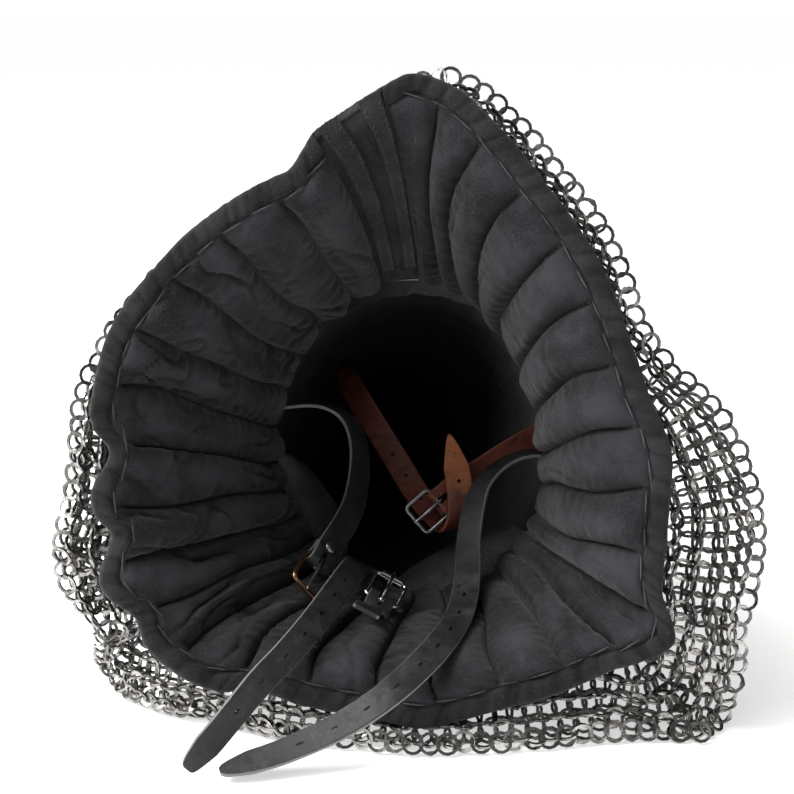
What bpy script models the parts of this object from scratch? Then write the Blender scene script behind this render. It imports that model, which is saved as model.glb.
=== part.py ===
"""A steel bascinet with a padded mail aventail, lying on its back with the neck opening towards -Y.

Metres, +Z up, standing on the floor at Z = 0, origin under the middle of the whole object's box.
Lengths below are millimetres in the helmet's own frame: its origin is the middle of the aventail's
rim, X points right, Y runs along the helmet's axis into the skull, Z points up.
"""
import math

import bmesh
import bpy
import numpy as np
from mathutils import Vector

# Placing of the helmet's own frame
MM = 0.001
TILT = math.radians(13.0)           # the helmet's axis dips towards the floor behind
RIM_HEIGHT = 185.0                  # middle of the rim above the floor
ORIGIN = (13.83, 138.44)            # middle of the object's box, from the middle of the rim
VIEW_REACH = 987.0                  # the outlines are given as they show from this far before the rim
TOUCH = 0.3                         # gap between pieces that touch

# The rim of the padding, seen along the axis, turned from +X towards +Z
RIM = (
    # angle, radius
    (-170, 163), (-160, 168), (-147, 184), (-132, 186), (-120, 184), (-109, 171), (-95, 171),
    (-82, 179), (-71, 179), (-60, 185), (-50, 192), (-40, 206), (-34, 183), (-20, 166), (-10, 159),
    (2, 144), (17, 138), (34, 140), (51, 146), (66, 160), (78, 175), (84, 178), (92, 166),
    (98, 157), (104, 150), (113, 134), (129, 136), (150, 143), (167, 153), (179, 157),
)
# Gathers where the rim is drawn inwards
NOTCHES = (
    # angle, depth, half width in degrees
    (-169, 13, 4.5), (-153, 13, 4), (-139, 7, 4), (-116, 4, 5),
)
# How far the padding swells into the opening
SWELL = (
    # angle, swell
    (-170, 0), (-60, 0), (-40, 6), (-22, 15), (0, 26), (40, 25), (62, 20), (78, 12), (88, 2), (100, 0),
)
# The hem of the mail; a depth of None lies on the floor
MAIL_HEM = (
    # angle, radius as seen, depth
    (-166, 176, 20), (-157, 194, 18), (-150, 202, 28), (-142, 202, 48), (-132, 215, None),
    (-126, 210, None), (-119, 200, None), (-106, 194, None), (-95, 191, None), (-82, 195, None),
    (-70, 204, None), (-58, 221, None), (-50, 241, None), (-45, 257, None), (-39, 249, 12),
    (-32, 234, 8), (-20, 222, 8), (-10, 204, 6), (0, 182, 6), (7, 161, 8), (19, 150, 8),
    (36, 155, 10), (52, 161, 10), (65, 173, 10), (78, 184, 10), (88, 170, 18), (104, 147, 23),
    (129, 133, 25), (150, 142, 22), (168, 156, 14), (180, 167, 12),
)

# Padding
NECK = (22.0, -22.0)                # middle of the neck opening
NECK_SIZE = (86.0, 96.0)            # its half width and half height at the seams
NECK_DEPTH = 133.0
HEM_WIDTH = 12.0
HEM_DEPTH = 12.0
HEM_MIDDLE = 3.0                    # depth of the rolled hem's middle
COLLAR_LIP = 1.0                    # depth of the lining's edge beside the hem
COLLAR_MOUTH = (28.0, 0.9, 17.0)    # first handle: how far in, share of the swell, depth
COLLAR_THROAT = (1.06, 92.0)        # second handle: times the neck's size, depth
PAD_THICKNESS = 9.0                 # at a seam
QUILT_RISE = 3.5                    # a channel's crown over its seams
CHANNELS = 36
CHANNEL_STEPS = 3
PAD_ROWS = 7
CLOSURE = (90.0, 105.0)             # angles between which the collar closes
CLOSURE_THICKNESS = 5.0
TAPE_WIDTH = 11.0
TAPE_THICKNESS = 1.6
TAPE_RADIUS = 150.0                 # the distance at which a tape's width is set
TAPES = (("closure_tape_left", 101.4), ("closure_tape_right", 92.8))   # and their angles
SEAM_SLACK = 0.16                   # in degrees, between the quilting and the closure

# Skull, given by the sections of its outside
SKULL = (
    # depth, middle x, middle z, half width, half height
    (133.3, 22, -22, 99, 109), (160, 22, -23, 100.5, 110), (190, 22, -24.5, 100.5, 110),
    (222, 22, -25.5, 98.5, 108.5), (255, 22, -26, 93, 103.5), (288, 22, -29.6, 83, 93.7),
    (318, 22, -36.2, 69, 79.3), (345, 22, -46.7, 51, 60.7), (368, 22, -59, 30, 39), (380, 22, -68, 14, 20),
)
SKULL_APEX = (22, 388, -75)
APEX_LIFT = 3.0                     # of the inner apex over the outer one
INNER_LEAST = 6.0                   # smallest half size that an inner section can have
SKULL_WALL = 2.0
LINER_WALL = 9.0
LINER_APEX = (6.0, 16.0)            # depths of its outer and inner apex before the skull's
SKULL_STEPS = 32
FACE_WIDTH = 124.0                  # opening for the face, in the side that points up
FACE_TOP = 232.0                    # depth of its highest point
FACE_START = 100.0
FACE_HEIGHT = 140.0                 # of the block that cuts it
BAND_DEPTHS = (123.0, 133.3, 160.0, 166.0)
BAND_WALL = 3.0

# Mail
MAIL_WALL = 3.0
MAIL_STEPS = 64
MAIL_ROWS = 8
MAIL_LEAVES = 0.84                  # share of the collar that it follows
MAIL_CLEAR = (1.2, 5.0)             # from the padding, at the hem and more at the band
MAIL_BAND_ROWS = ((122.0, 1.2), (134.0, 0.3), (146.0, 0.0))     # depth and clearance on the band
MAIL_PRESS = 0.6                    # how far its lying edge is pressed flat on the floor
FLARE_POWER = 1.5

# Pads on the liner, between two angles and two depths
PADS = (
    # name, angle, angle, depth, depth, swell
    ("cheek_pad_left", 186, 238, 137.5, 226, 15),
    ("nape_pad", 262, 322, 137.5, 232, 14),
)
PAD_EDGE = 2.0
PAD_ROUNDNESS = 0.6

# Straps
STRAP_WIDTH = 16.0
STRAP_THICKNESS = 2.4
WIRE = 1.5                          # radius of a buckle's wire
PRONG_WIRE = 1.1
TIP_WIDTH = 5.0
LOOP_GAP = 0.7                      # between a buckle's bar and the leather round it
SLOT_WIDTH = 4.4
SIDE_GAP = 0.9                      # between a strap's edge and the side of its buckle
BUCKLE_CORNER = 3.0
RIVET_RADIUS = 3.6
RIVET_HEIGHT = 1.4
RIVET_BACK = 12.5                   # from the bar
PRONG_EYE = (-30, -270)             # degrees that its eye goes round the bar
PRONG_RISE = ((0.35, 0.9), (0.7, 0.1), (0.95, 0.0))     # share of its length and height
PRONG_OVER = 2.2                    # past the far bar
LOOP_LEAD = (13, 7, 2)              # rows of the strap before its bar
FLOOR_CLEAR = 1.0                   # under the straps
ROLLER_LENGTH = 13.0
ROLLER_WALL = 0.8
# Straps as rows of the middle and the direction across
CHIN_STRAP_LEFT = (
    # x, depth, z, across x, across depth, across z
    (-64, 150, -5, 0, 1, 0), (-40, 150, -3, .1, .98, .1), (-23, 149, -10, .4, .9, .1),
    (-15, 144, -25, .6, .8, .05), (-14, 134, -46, .7, .7, 0), (-19, 116, -68, .74, .6, -.3),
)
CHIN_BAR = ((-37.2, 75, -95), (-44, 56, -107.5), (.66, .35, -.66))
CHIN_STRAP_RIGHT = (
    (107.1, 144, -35, 0, 1, .1), (91, 141, -33, -.1, .97, .2), (74, 134, -39, -.4, .9, .1),
    (61, 124, -51, -.6, .8, 0), (55, 114, -66, -.75, .65, 0), (51.5, 101, -85, -.8, .6, 0),
    (50, 82, -102, -.8, .6, .05), (46, 56, -117, -.8, .55, .15), (38, 29, -128, -.7, .5, .4),
    (23, 0, -141, -.6, .5, .6), (3, -19, -156, -.5, .55, .65), (-21, -25, -171, -.4, .6, .65),
    (-49, -30, -183, -.3, .7, .6), (-69, -34, -189, -.3, .75, .5), (-84, -38, -193, -.3, .8, .4),
)
AVENTAIL_STRAP = (
    (-9, 156, -109.4, .9, 0, -.3), (-10, 141, -107, .9, .05, -.3), (-11.5, 124, -100.3, .85, 0, -.4),
    (-14.5, 99, -98.3, .8, 0, -.6), (-19, 70, -100.8, .7, 0, -.7), (-28, 40, -111, .7, .05, -.7),
    (-40, 14, -125, .7, .1, -.7), (-52, -5, -137.5, .65, .2, -.65), (-65, -17, -150, .65, .3, -.6),
    (-77.5, -24, -164.5, .6, .4, -.55), (-88, -28, -177, .6, .4, -.5), (-97, -31, -187, .6, .35, -.5),
    (-102, -32, -193, .7, .2, -.4),
)
CHROME_BAR = ((-1, 66, -115.5), (5.5, 82, -105), (.9, .1, -.35))
BUCKLE_TAB = ((-9, 34, -118, .9, .2, -.4), (-7, 45, -117, .9, .15, -.4))
BROWN_STRAP_LEFT = (
    (-28.7, 284.9, 22.8, .84, 0, .5), (-21.5, 261, 10, .84, .1, .54), (-6.6, 228, -14, .84, .1, .54),
    (10, 194, -40, .84, .15, .5), (22, 172, -59, .8, .3, .45), (33, 162, -73, .75, .45, .3),
    (42, 152, -80.5, .8, .5, .1), (48, 143.5, -73, .95, .3, 0), (48, 139, -55, 1, 0, .05),
    (45, 135, -38, 1, 0, .05), (41, 131, -21, 1, 0, .05),
)
BROWN_STRAP_RIGHT = (
    (106.8, 160, -18, .4, 0, .9), (86, 157, -29, .45, 0, .9), (64, 153, -42, .5, 0, .85),
)
BROWN_BAR = ((35, 147, -63), (21, 143, -75), (.6, .2, .75))

COLLECTION = "bascinet_with_aventail"


# Numbers and places

def smooth(knots, values, at):
    """Values on a smooth curve through the knots that never overshoots them."""
    knots = np.asarray(knots, float)
    values = np.asarray(values, float)
    step = np.diff(knots)
    rise = np.diff(values) / step
    both = rise[:-1] * rise[1:]
    slope = np.zeros_like(values)
    slope[1:-1] = np.where(both > 0, 2 * both / np.where(both > 0, rise[:-1] + rise[1:], 1), 0)
    index = np.clip(np.searchsorted(knots, at) - 1, 0, len(step) - 1)
    t = (at - knots[index]) / step[index]
    start = values[index] * (1 + 2 * t) * (1 - t) ** 2 + slope[index] * step[index] * t * (1 - t) ** 2
    end = values[index + 1] * t * t * (3 - 2 * t) + slope[index + 1] * step[index] * t * t * (t - 1)
    return start + end


def around(table, column, angles):
    """A column of a table that goes once round, at any angles in degrees."""
    rows = sorted(table)
    knots = [row[0] + turn for turn in (-360, 0, 360) for row in rows]
    values = [row[column] for row in rows] * 3
    return smooth(knots, values, np.asarray(angles, float))


def along(rows, count):
    """Points on a Catmull-Rom curve through the rows, with as many steps in each stretch."""
    rows = np.asarray(rows, float)
    ends = np.vstack([2 * rows[0] - rows[1], rows, 2 * rows[-1] - rows[-2]])
    points = []
    for i in range(len(rows) - 1):
        a, b, c, d = ends[i:i + 4]
        for t in np.arange(count) / count:
            points.append(0.5 * (2 * b + (c - a) * t + (2 * a - 5 * b + 4 * c - d) * t * t
                                 + (3 * b - a - 3 * c + d) * t ** 3))
    points.append(rows[-1])
    return np.array(points)


def unit(vectors):
    vectors = np.asarray(vectors, float)
    return vectors / np.linalg.norm(vectors, axis=-1, keepdims=True)


def world(points):
    """Metres in the world from millimetres in the helmet's own frame."""
    x, y, z = np.moveaxis(np.asarray(points, float), -1, 0)
    back = y * math.cos(TILT) + z * math.sin(TILT)
    up = z * math.cos(TILT) - y * math.sin(TILT) + RIM_HEIGHT
    return np.stack([x - ORIGIN[0], back - ORIGIN[1], up], -1) * MM


# Meshes

def make_material(name, colour, roughness, metallic=0.0):
    material = bpy.data.materials.new(name)
    material.use_nodes = True
    shader = material.node_tree.nodes["Principled BSDF"]
    shader.inputs["Base Color"].default_value = (*colour, 1.0)
    shader.inputs["Roughness"].default_value = roughness
    shader.inputs["Metallic"].default_value = metallic
    return material


def make_object(name, points, faces, material):
    """An object from world points in metres, with its faces turned outwards."""
    mesh = bpy.data.meshes.new(name)
    mesh.from_pydata([tuple(p) for p in points], [], faces)
    solid = bmesh.new()
    solid.from_mesh(mesh)
    bmesh.ops.recalc_face_normals(solid, faces=solid.faces)
    solid.to_mesh(mesh)
    solid.free()
    mesh.shade_smooth()
    mesh.set_sharp_from_angle(angle=math.radians(40))
    mesh.materials.append(material)
    thing = bpy.data.objects.new(name, mesh)
    parts.objects.link(thing)
    return thing


def wall_faces(rows, columns, wrap):
    """Faces of a wall between two grids: both sides and the edges round them."""
    far = rows * columns
    faces = []
    spans = columns if wrap else columns - 1
    for r in range(rows - 1):
        for c in range(spans):
            n = (c + 1) % columns
            quad = (r * columns + c, r * columns + n, (r + 1) * columns + n, (r + 1) * columns + c)
            faces.append(quad)
            faces.append(tuple(far + i for i in reversed(quad)))
    for c in range(spans):
        n = (c + 1) % columns
        faces.append((c, far + c, far + n, n))
        last = (rows - 1) * columns
        faces.append((last + c, last + n, far + last + n, far + last + c))
    if not wrap:
        for r in range(rows - 1):
            for c in (0, columns - 1):
                faces.append((r * columns + c, (r + 1) * columns + c,
                              far + (r + 1) * columns + c, far + r * columns + c))
    return faces


def wall(name, near, far, material, wrap=True, floor=None):
    """A closed wall between two grids of points, kept above the floor."""
    rows, columns = near.shape[:2]
    points = np.concatenate([world(near).reshape(-1, 3), world(far).reshape(-1, 3)])
    if floor is not None:
        half = rows * columns
        points[:half, 2] = np.maximum(points[:half, 2], floor[0] * MM)
        points[half:, 2] = np.maximum(points[half:, 2], floor[1] * MM)
    return make_object(name, points, wall_faces(rows, columns, wrap), material)


def grid_normals(grid, wrap=True):
    """Normals of a grid of points, away from the helmet's axis."""
    down = np.gradient(grid, axis=0)
    if wrap:
        side = (np.roll(grid, -1, 1) - np.roll(grid, 1, 1)) / 2
    else:
        side = np.gradient(grid, axis=1)
    normal = unit(np.cross(side, down))
    outward = grid - np.array([NECK[0], 60.0, NECK[1]])
    facing = np.sum(normal * outward * np.array([1, 0, 1]), -1, keepdims=True)
    return np.where(facing.mean() < 0, -normal, normal)


def swept(name, centres, across, width, thickness, material, floor=None):
    """A strap: a flat section of changing width carried along its middle line."""
    centres = np.asarray(centres, float)
    forward = unit(np.gradient(centres, axis=0))
    across = np.asarray(across, float)
    across = unit(across - np.sum(across * forward, -1, keepdims=True) * forward)
    face = np.cross(forward, across)
    half = np.asarray(width, float)[:, None] / 2 * across
    deep = thickness / 2 * face
    ring = [centres + half + deep, centres - half + deep, centres - half - deep, centres + half - deep]
    points = world(np.stack(ring, 1)).reshape(-1, 3)
    if floor is not None:
        points[:, 2] = np.maximum(points[:, 2], floor * MM)
    faces = [(0, 1, 2, 3), tuple(4 * (len(centres) - 1) + i for i in (3, 2, 1, 0))]
    for i in range(len(centres) - 1):
        for k in range(4):
            n = (k + 1) % 4
            faces.append((4 * i + k, 4 * i + 4 + k, 4 * i + 4 + n, 4 * i + n))
    return make_object(name, points, faces, material)


def wire(name, points, radius, material, pivot, cyclic=False):
    """A round wire through points; the object's own origin is at its pivot."""
    curve = bpy.data.curves.new(name, "CURVE")
    curve.dimensions = "3D"
    curve.bevel_depth = radius * MM
    curve.bevel_resolution = 2
    curve.use_fill_caps = True
    spline = curve.splines.new("POLY")
    spline.points.add(len(points) - 1)
    origin = world(pivot)
    for point, place in zip(spline.points, world(points) - origin):
        point.co = (*place, 1.0)
    spline.use_cyclic_u = cyclic
    curve.materials.append(material)
    thing = bpy.data.objects.new(name, curve)
    thing.location = origin
    parts.objects.link(thing)
    return thing


# Aventail padding

def rim_line(angles):
    """The rim's outline at depth 0, as points across the helmet's axis."""
    radius = around(RIM, 1, angles)
    for middle, depth, half in NOTCHES:
        off = (np.asarray(angles) - middle + 180) % 360 - 180
        radius = radius - depth * np.exp(-(off / half) ** 2)
    turn = np.radians(angles)
    return np.stack([radius * np.cos(turn), 0 * turn, radius * np.sin(turn)], -1)


def inward_at(angles):
    """Directions into the opening, square to the rim's outline once its small notches are evened."""
    spread = np.radians(np.arange(-14, 15, 2))
    ahead = sum(rim_line(np.asarray(angles) + math.degrees(s) + 2) for s in spread)
    behind = sum(rim_line(np.asarray(angles) + math.degrees(s) - 2) for s in spread)
    tangent = unit(ahead - behind)
    return np.stack([-tangent[..., 2], 0 * tangent[..., 1], tangent[..., 0]], -1)


def rim_angles(first, last, count):
    """Angles of evenly spaced places along the rim between two angles."""
    fine = np.linspace(first, last, 2000)
    line = rim_line(fine)
    length = np.concatenate([[0], np.cumsum(np.linalg.norm(np.diff(line, axis=0), axis=1))])
    return np.interp(np.linspace(0, length[-1], count), length, fine)


def collar(angles, rows, start):
    """The collar's lining at its seams, from the rim to the neck, as rows of points."""
    inward = inward_at(angles)
    swell = around(SWELL, 1, angles)[:, None]
    turn = np.radians(angles)
    reach = np.stack([NECK_SIZE[0] * np.cos(turn), 0 * turn, NECK_SIZE[1] * np.sin(turn)], -1)
    middle = np.array([NECK[0], 0, NECK[1]])
    axis = np.array([0.0, 1.0, 0.0])
    first = rim_line(angles) + inward * start + axis * COLLAR_LIP
    second = first + inward * (COLLAR_MOUTH[0] + swell * COLLAR_MOUTH[1]) + axis * COLLAR_MOUTH[2]
    third = middle + reach * COLLAR_THROAT[0] + inward * swell + axis * COLLAR_THROAT[1]
    fourth = middle + reach + axis * NECK_DEPTH
    s = rows[:, None, None]
    return (first * (1 - s) ** 3 + 3 * second * s * (1 - s) ** 2
            + 3 * third * s * s * (1 - s) + fourth * s ** 3)


def collar_normals(angles, rows, start):
    """Normals of the collar, the same at an angle for every sheet, that stand square to its two ends."""
    angles = np.asarray(angles, float)
    down = np.gradient(collar(angles, rows, start), axis=0)
    side = collar(angles + 0.5, rows, start) - collar(angles - 0.5, rows, start)
    normal = unit(np.cross(down, side))
    turn = np.radians(angles)
    normal[0] = (0, 1, 0)
    normal[-1] = unit(np.stack([np.cos(turn) / NECK_SIZE[0], 0 * turn, np.sin(turn) / NECK_SIZE[1]], -1))
    return normal


def padding_walls(angles, rows, thickness, crowns):
    """The lining's quilted points and the plain points behind them."""
    base = collar(angles, rows, HEM_WIDTH + TOUCH)
    normal = collar_normals(angles, rows, HEM_WIDTH + TOUCH)
    return base - normal * (QUILT_RISE * crowns)[None, :, None], base + normal * thickness


def build_padding():
    cloth = make_material("black_padding", (0.03, 0.03, 0.032), 0.85)
    hem_cloth = make_material("black_hem", (0.028, 0.028, 0.03), 0.85)
    flap_cloth = make_material("black_closure_cloth", (0.026, 0.026, 0.028), 0.85)
    tape_cloth = make_material("black_tape", (0.03, 0.03, 0.032), 0.8)
    angles = rim_angles(CLOSURE[1] + SEAM_SLACK, CLOSURE[0] + 360 - SEAM_SLACK, CHANNELS * CHANNEL_STEPS + 1)
    crowns = np.sin(np.pi * (np.arange(len(angles)) % CHANNEL_STEPS) / CHANNEL_STEPS)
    rows = np.linspace(0, 1, PAD_ROWS)
    near, far = padding_walls(angles, rows, PAD_THICKNESS, crowns)
    wall("padding", near, far, cloth, wrap=False)

    # The rim is rolled over into a round hem
    line = rim_line(angles)
    inward = inward_at(angles)
    turns = np.arange(6) * math.pi / 3
    ring = [line + inward * HEM_WIDTH / 2 * (1 - math.cos(t))
            + np.array([0, HEM_MIDDLE + HEM_DEPTH / 2 * math.sin(t), 0]) for t in turns]
    points = world(np.stack(ring, 1)).reshape(-1, 3)
    count = len(angles)
    faces = [tuple(range(6)), tuple(6 * (count - 1) + i for i in reversed(range(6)))]
    for i in range(count - 1):
        for k in range(6):
            n = (k + 1) % 6
            faces.append((6 * i + k, 6 * i + 6 + k, 6 * i + 6 + n, 6 * i + n))
    make_object("padding_hem", points, faces, hem_cloth)

    # The closure is thinner and runs out to the rim with a raw edge
    flap_angles = rim_angles(CLOSURE[0] + SEAM_SLACK, CLOSURE[1] - SEAM_SLACK, 5)
    near, far = padding_walls(flap_angles, rows, CLOSURE_THICKNESS, np.zeros(5))
    edge = rim_line(flap_angles)[None]
    near = np.concatenate([edge + near[0, :, 1].mean() * np.array([0, 1, 0]), near])
    far = np.concatenate([edge + far[0, :, 1].mean() * np.array([0, 1, 0]), far])
    wall("closure_panel", near, far, flap_cloth, wrap=False)

    # Two tapes are stitched on the lining beside the closure
    tape_rows = np.linspace(0.04, 0.8, 6)
    for name, middle in TAPES:
        tape_angles = middle + np.linspace(1, -1, 2) * math.degrees(TAPE_WIDTH / 2 / TAPE_RADIUS)
        base = collar(tape_angles, tape_rows, HEM_WIDTH + TOUCH)
        normal = grid_normals(base, wrap=False)
        under = base - normal * 2 * TOUCH
        wall(name, under - normal * TAPE_THICKNESS, under, tape_cloth, wrap=False)


# Mail

def mail_middle(angles):
    """The middle of the mail's wall, from its hem to the band."""
    rows = np.linspace(0, MAIL_LEAVES, MAIL_ROWS)
    base = collar(angles, rows, HEM_WIDTH)
    outside = grid_normals(base)
    outside[0] = (0, 1, 0)
    clear = PAD_THICKNESS + MAIL_CLEAR[0] + MAIL_WALL / 2 + rows[:, None, None] ** 2 * MAIL_CLEAR[1]
    base = base + outside * clear
    turn = np.radians(angles)
    seen = around(MAIL_HEM, 1, angles)
    lift = MAIL_WALL / 2
    floor_depth = (lift - RIM_HEIGHT - seen * np.sin(turn) * math.cos(TILT)) / (
        seen * np.sin(turn) * math.cos(TILT) / VIEW_REACH - math.sin(TILT))
    lying = [(a, r, None, 1.0 if d is None else 0.0, 0.0 if d is None else d) for a, r, d in MAIL_HEM]
    weight = around(lying, 3, angles)
    depth = around(lying, 4, angles) + floor_depth * weight
    scale = seen * (1 + depth / VIEW_REACH)
    hem = np.stack([scale * np.cos(turn), depth, scale * np.sin(turn)], -1)
    flare = (hem - base[0])[None] * (1 - rows[:, None, None] / rows[-1]) ** FLARE_POWER
    skirt = base + flare
    above = skirt[:2, :, 2] * math.cos(TILT) - skirt[:2, :, 1] * math.sin(TILT) + RIM_HEIGHT
    drop = (above - lift + MAIL_PRESS) * weight
    skirt[:2] -= drop[..., None] * np.array([0, -math.sin(TILT), math.cos(TILT)])
    grow = BAND_WALL + 2.5 * TOUCH + MAIL_WALL / 2
    top = [section_ring(depth, grow + more, turn) for depth, more in MAIL_BAND_ROWS]
    return np.concatenate([skirt, np.stack(top)])


def build_mail():
    steel = make_material("steel_mail", (0.12, 0.12, 0.12), 0.4, 1.0)
    angles = np.arange(MAIL_STEPS) * 360 / MAIL_STEPS
    middle = mail_middle(angles)
    out = grid_normals(middle)
    inner = middle - out * MAIL_WALL / 2
    outer = middle + out * MAIL_WALL / 2
    wall("mail_curtain", inner, outer, steel, floor=(MAIL_WALL, 0))


# Skull, liner and band

def skull_section(depth):
    """The middle, half width and half height of the skull's outside at a depth."""
    depths = [row[0] for row in SKULL]
    return [np.interp(depth, depths, [row[k] for row in SKULL]) for k in range(1, 5)]


def section_ring(depth, grow, turn):
    """Points round the skull's section at a depth, moved outwards."""
    x, z, half_width, half_height = skull_section(depth)
    return np.stack([x + (half_width + grow) * np.cos(turn), 0 * turn + depth,
                     z + (half_height + grow) * np.sin(turn)], -1)


def skull_ring(row, grow, steps):
    depth, x, z, half_width, half_height = row
    turn = np.arange(steps) * 2 * math.pi / steps
    return np.stack([x + (half_width + grow) * np.cos(turn), 0 * turn + depth,
                     z + (half_height + grow) * np.sin(turn)], -1)


def bowl(name, outer_grow, inner_grow, apex_outer, apex_inner, material):
    """A closed shell through the skull's sections, with a point at its apex."""
    outer = np.stack([skull_ring(row, outer_grow, SKULL_STEPS) for row in SKULL])
    inner_rows = [row for row in SKULL if min(row[3], row[4]) + inner_grow > INNER_LEAST]
    inner = np.stack([skull_ring(row, inner_grow, SKULL_STEPS) for row in inner_rows])
    n = SKULL_STEPS
    points = np.concatenate([outer.reshape(-1, 3), inner.reshape(-1, 3),
                             [(SKULL_APEX[0], apex_outer, SKULL_APEX[2])],
                             [(SKULL_APEX[0], apex_inner, SKULL_APEX[2] + APEX_LIFT)]])
    first = len(outer) * n
    tips = (first + len(inner) * n, first + len(inner) * n + 1)
    faces = []
    for offset, rings, tip in ((0, len(outer), tips[0]), (first, len(inner), tips[1])):
        for r in range(rings - 1):
            for c in range(n):
                d = (c + 1) % n
                faces.append((offset + r * n + c, offset + r * n + d,
                              offset + (r + 1) * n + d, offset + (r + 1) * n + c))
        last = offset + (rings - 1) * n
        faces += [(last + c, last + (c + 1) % n, tip) for c in range(n)]
    faces += [(c, first + c, first + (c + 1) % n, (c + 1) % n) for c in range(n)]
    return make_object(name, world(points), faces, material)


def as_cutter(thing):
    parts.objects.unlink(thing)
    guides.objects.link(thing)
    thing.hide_render = True
    thing.display_type = "WIRE"
    return thing


def face_cutter():
    """A tall block with an arched end, over the side that points up."""
    half = FACE_WIDTH / 2
    arc = [(half * math.cos(t), FACE_TOP - half + half * math.sin(t)) for t in np.linspace(0, math.pi, 13)]
    outline = [(half, FACE_START)] + arc + [(-half, FACE_START)]
    low = [(SKULL[0][1] + x, y, 0) for x, y in outline]
    high = [(SKULL[0][1] + x, y, FACE_HEIGHT) for x, y in outline]
    n = len(outline)
    faces = [tuple(range(n)), tuple(reversed(range(n, 2 * n)))]
    faces += [(i, (i + 1) % n, n + (i + 1) % n, n + i) for i in range(n)]
    red = make_material("cutter", (1, 0, 0), 1)
    cutter = make_object("face_opening_cutter", world(low + high), faces, red)
    return as_cutter(cutter)


def build_skull():
    steel = make_material("polished_steel", (0.45, 0.45, 0.46), 0.28, 1.0)
    lining = make_material("black_liner", (0.022, 0.022, 0.024), 0.9)
    leather = make_material("black_band_leather", (0.02, 0.018, 0.017), 0.6)
    skull = bowl("skull", 0, -SKULL_WALL, SKULL_APEX[1], SKULL_APEX[1] - SKULL_WALL - 1, steel)
    gap = SKULL_WALL + TOUCH
    tops = [SKULL_APEX[1] - below for below in LINER_APEX]
    liner = bowl("liner", -gap, -gap - LINER_WALL, *tops,
                 lining)
    cutter = face_cutter()
    for shell in (skull, liner):
        cut = shell.modifiers.new("face opening", "BOOLEAN")
        cut.object = cutter
        cut.operation = "DIFFERENCE"
        cut.solver = "EXACT"

    # The leather band carries the mail round the skull's lower edge
    turn = np.arange(MAIL_STEPS) * 2 * math.pi / MAIL_STEPS
    inner = np.stack([section_ring(d, TOUCH, turn) for d in BAND_DEPTHS])
    outer = np.stack([section_ring(d, TOUCH + BAND_WALL, turn) for d in BAND_DEPTHS])
    wall("aventail_band", inner, outer, leather)


def build_pads():
    """Soft pads on the liner's inner side, thickest in their middle."""
    cloth = make_material("black_pad_cloth", (0.027, 0.027, 0.029), 0.9)
    for name, first, last, near_depth, far_depth, thickness in PADS:
        u = np.linspace(0, 1, 8)
        v = np.linspace(0, 1, 7)
        angles = np.radians(first + (last - first) * u)
        back = []
        front = []
        for t in v:
            at = near_depth + (far_depth - near_depth) * t
            x, z, wide, high = skull_section(at)
            inset = SKULL_WALL + TOUCH + LINER_WALL + TOUCH
            flat = np.cos(math.pi / SKULL_STEPS)
            wide, high = (wide - inset) * flat, (high - inset) * flat
            bulge = (np.sin(math.pi * u) * math.sin(math.pi * t)).clip(0) ** PAD_ROUNDNESS
            swell = PAD_EDGE + thickness * bulge
            ring = np.stack([x + wide * np.cos(angles), 0 * angles + at, z + high * np.sin(angles)], -1)
            inner = np.stack([x + (wide - swell) * np.cos(angles), 0 * angles + at,
                              z + (high - swell) * np.sin(angles)], -1)
            back.append(ring)
            front.append(inner)
        wall(name, np.stack(front), np.stack(back), cloth, wrap=False)


# Straps and buckles

def buckle_axes(bar):
    """The bar's middle, the way to the far bar, its distance, the way across and the way up."""
    near, far, across = (np.array(v, float) for v in bar)
    forward = far - near
    length = np.linalg.norm(forward)
    forward = forward / length
    across = unit(across - np.dot(across, forward) * forward)
    return near, forward, length, across, np.cross(forward, across)


def plain_strap(name, rows, steps, material, floor=None):
    """A strap with a rounded tip at the end of its rows."""
    path = along(rows, steps)
    run = np.linalg.norm(path[-1, :3] - path[:, :3], axis=1)
    width = np.minimum(STRAP_WIDTH, TIP_WIDTH + (STRAP_WIDTH - TIP_WIDTH) * np.sqrt(run / STRAP_WIDTH))
    return swept(name, path[:, :3], path[:, 3:], width, STRAP_THICKNESS, material, floor)


def looped_strap(name, rows, steps, bar, material, side=1.0, returns=14.0):
    """A strap whose end goes round a buckle's bar and back under itself, with a slot for the tongue."""
    near, forward, _, across, up = buckle_axes(bar)
    up = up * side
    loop = WIRE + LOOP_GAP + STRAP_THICKNESS / 2
    leading = tuple((*(near - forward * back + up * loop), *across) for back in LOOP_LEAD)
    path = along(tuple(rows) + leading, steps)
    turn = [near + loop * (forward * math.sin(t) + up * math.cos(t)) for t in np.linspace(0, math.pi, 7)]
    layers = STRAP_THICKNESS + TOUCH
    back = [near - forward * 5 - up * (loop - 0.5), near - forward * 7.5 - up * (layers - loop + 0.8),
            near - forward * returns - up * (layers - loop)]
    centres = np.vstack([path[:, :3], turn, back])
    ways = np.vstack([path[:, 3:], np.tile(across, (len(turn) + len(back), 1))])
    strap = swept(name, centres, ways, np.full(len(centres), STRAP_WIDTH), STRAP_THICKNESS, material)
    corners = [near + forward * f + up * u * 9 + across * a * SLOT_WIDTH / 2
               for f in (-9, 9) for u in (-1, 1) for a in (-1, 1)]
    faces = [(0, 1, 3, 2), (4, 6, 7, 5), (0, 4, 5, 1), (2, 3, 7, 6), (0, 2, 6, 4), (1, 5, 7, 3)]
    cut = strap.modifiers.new("slot for the tongue", "BOOLEAN")
    cut.object = as_cutter(make_object(name + "_slot", world(corners), faces, material))
    cut.operation = "DIFFERENCE"
    cut.solver = "EXACT"
    return strap


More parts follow.
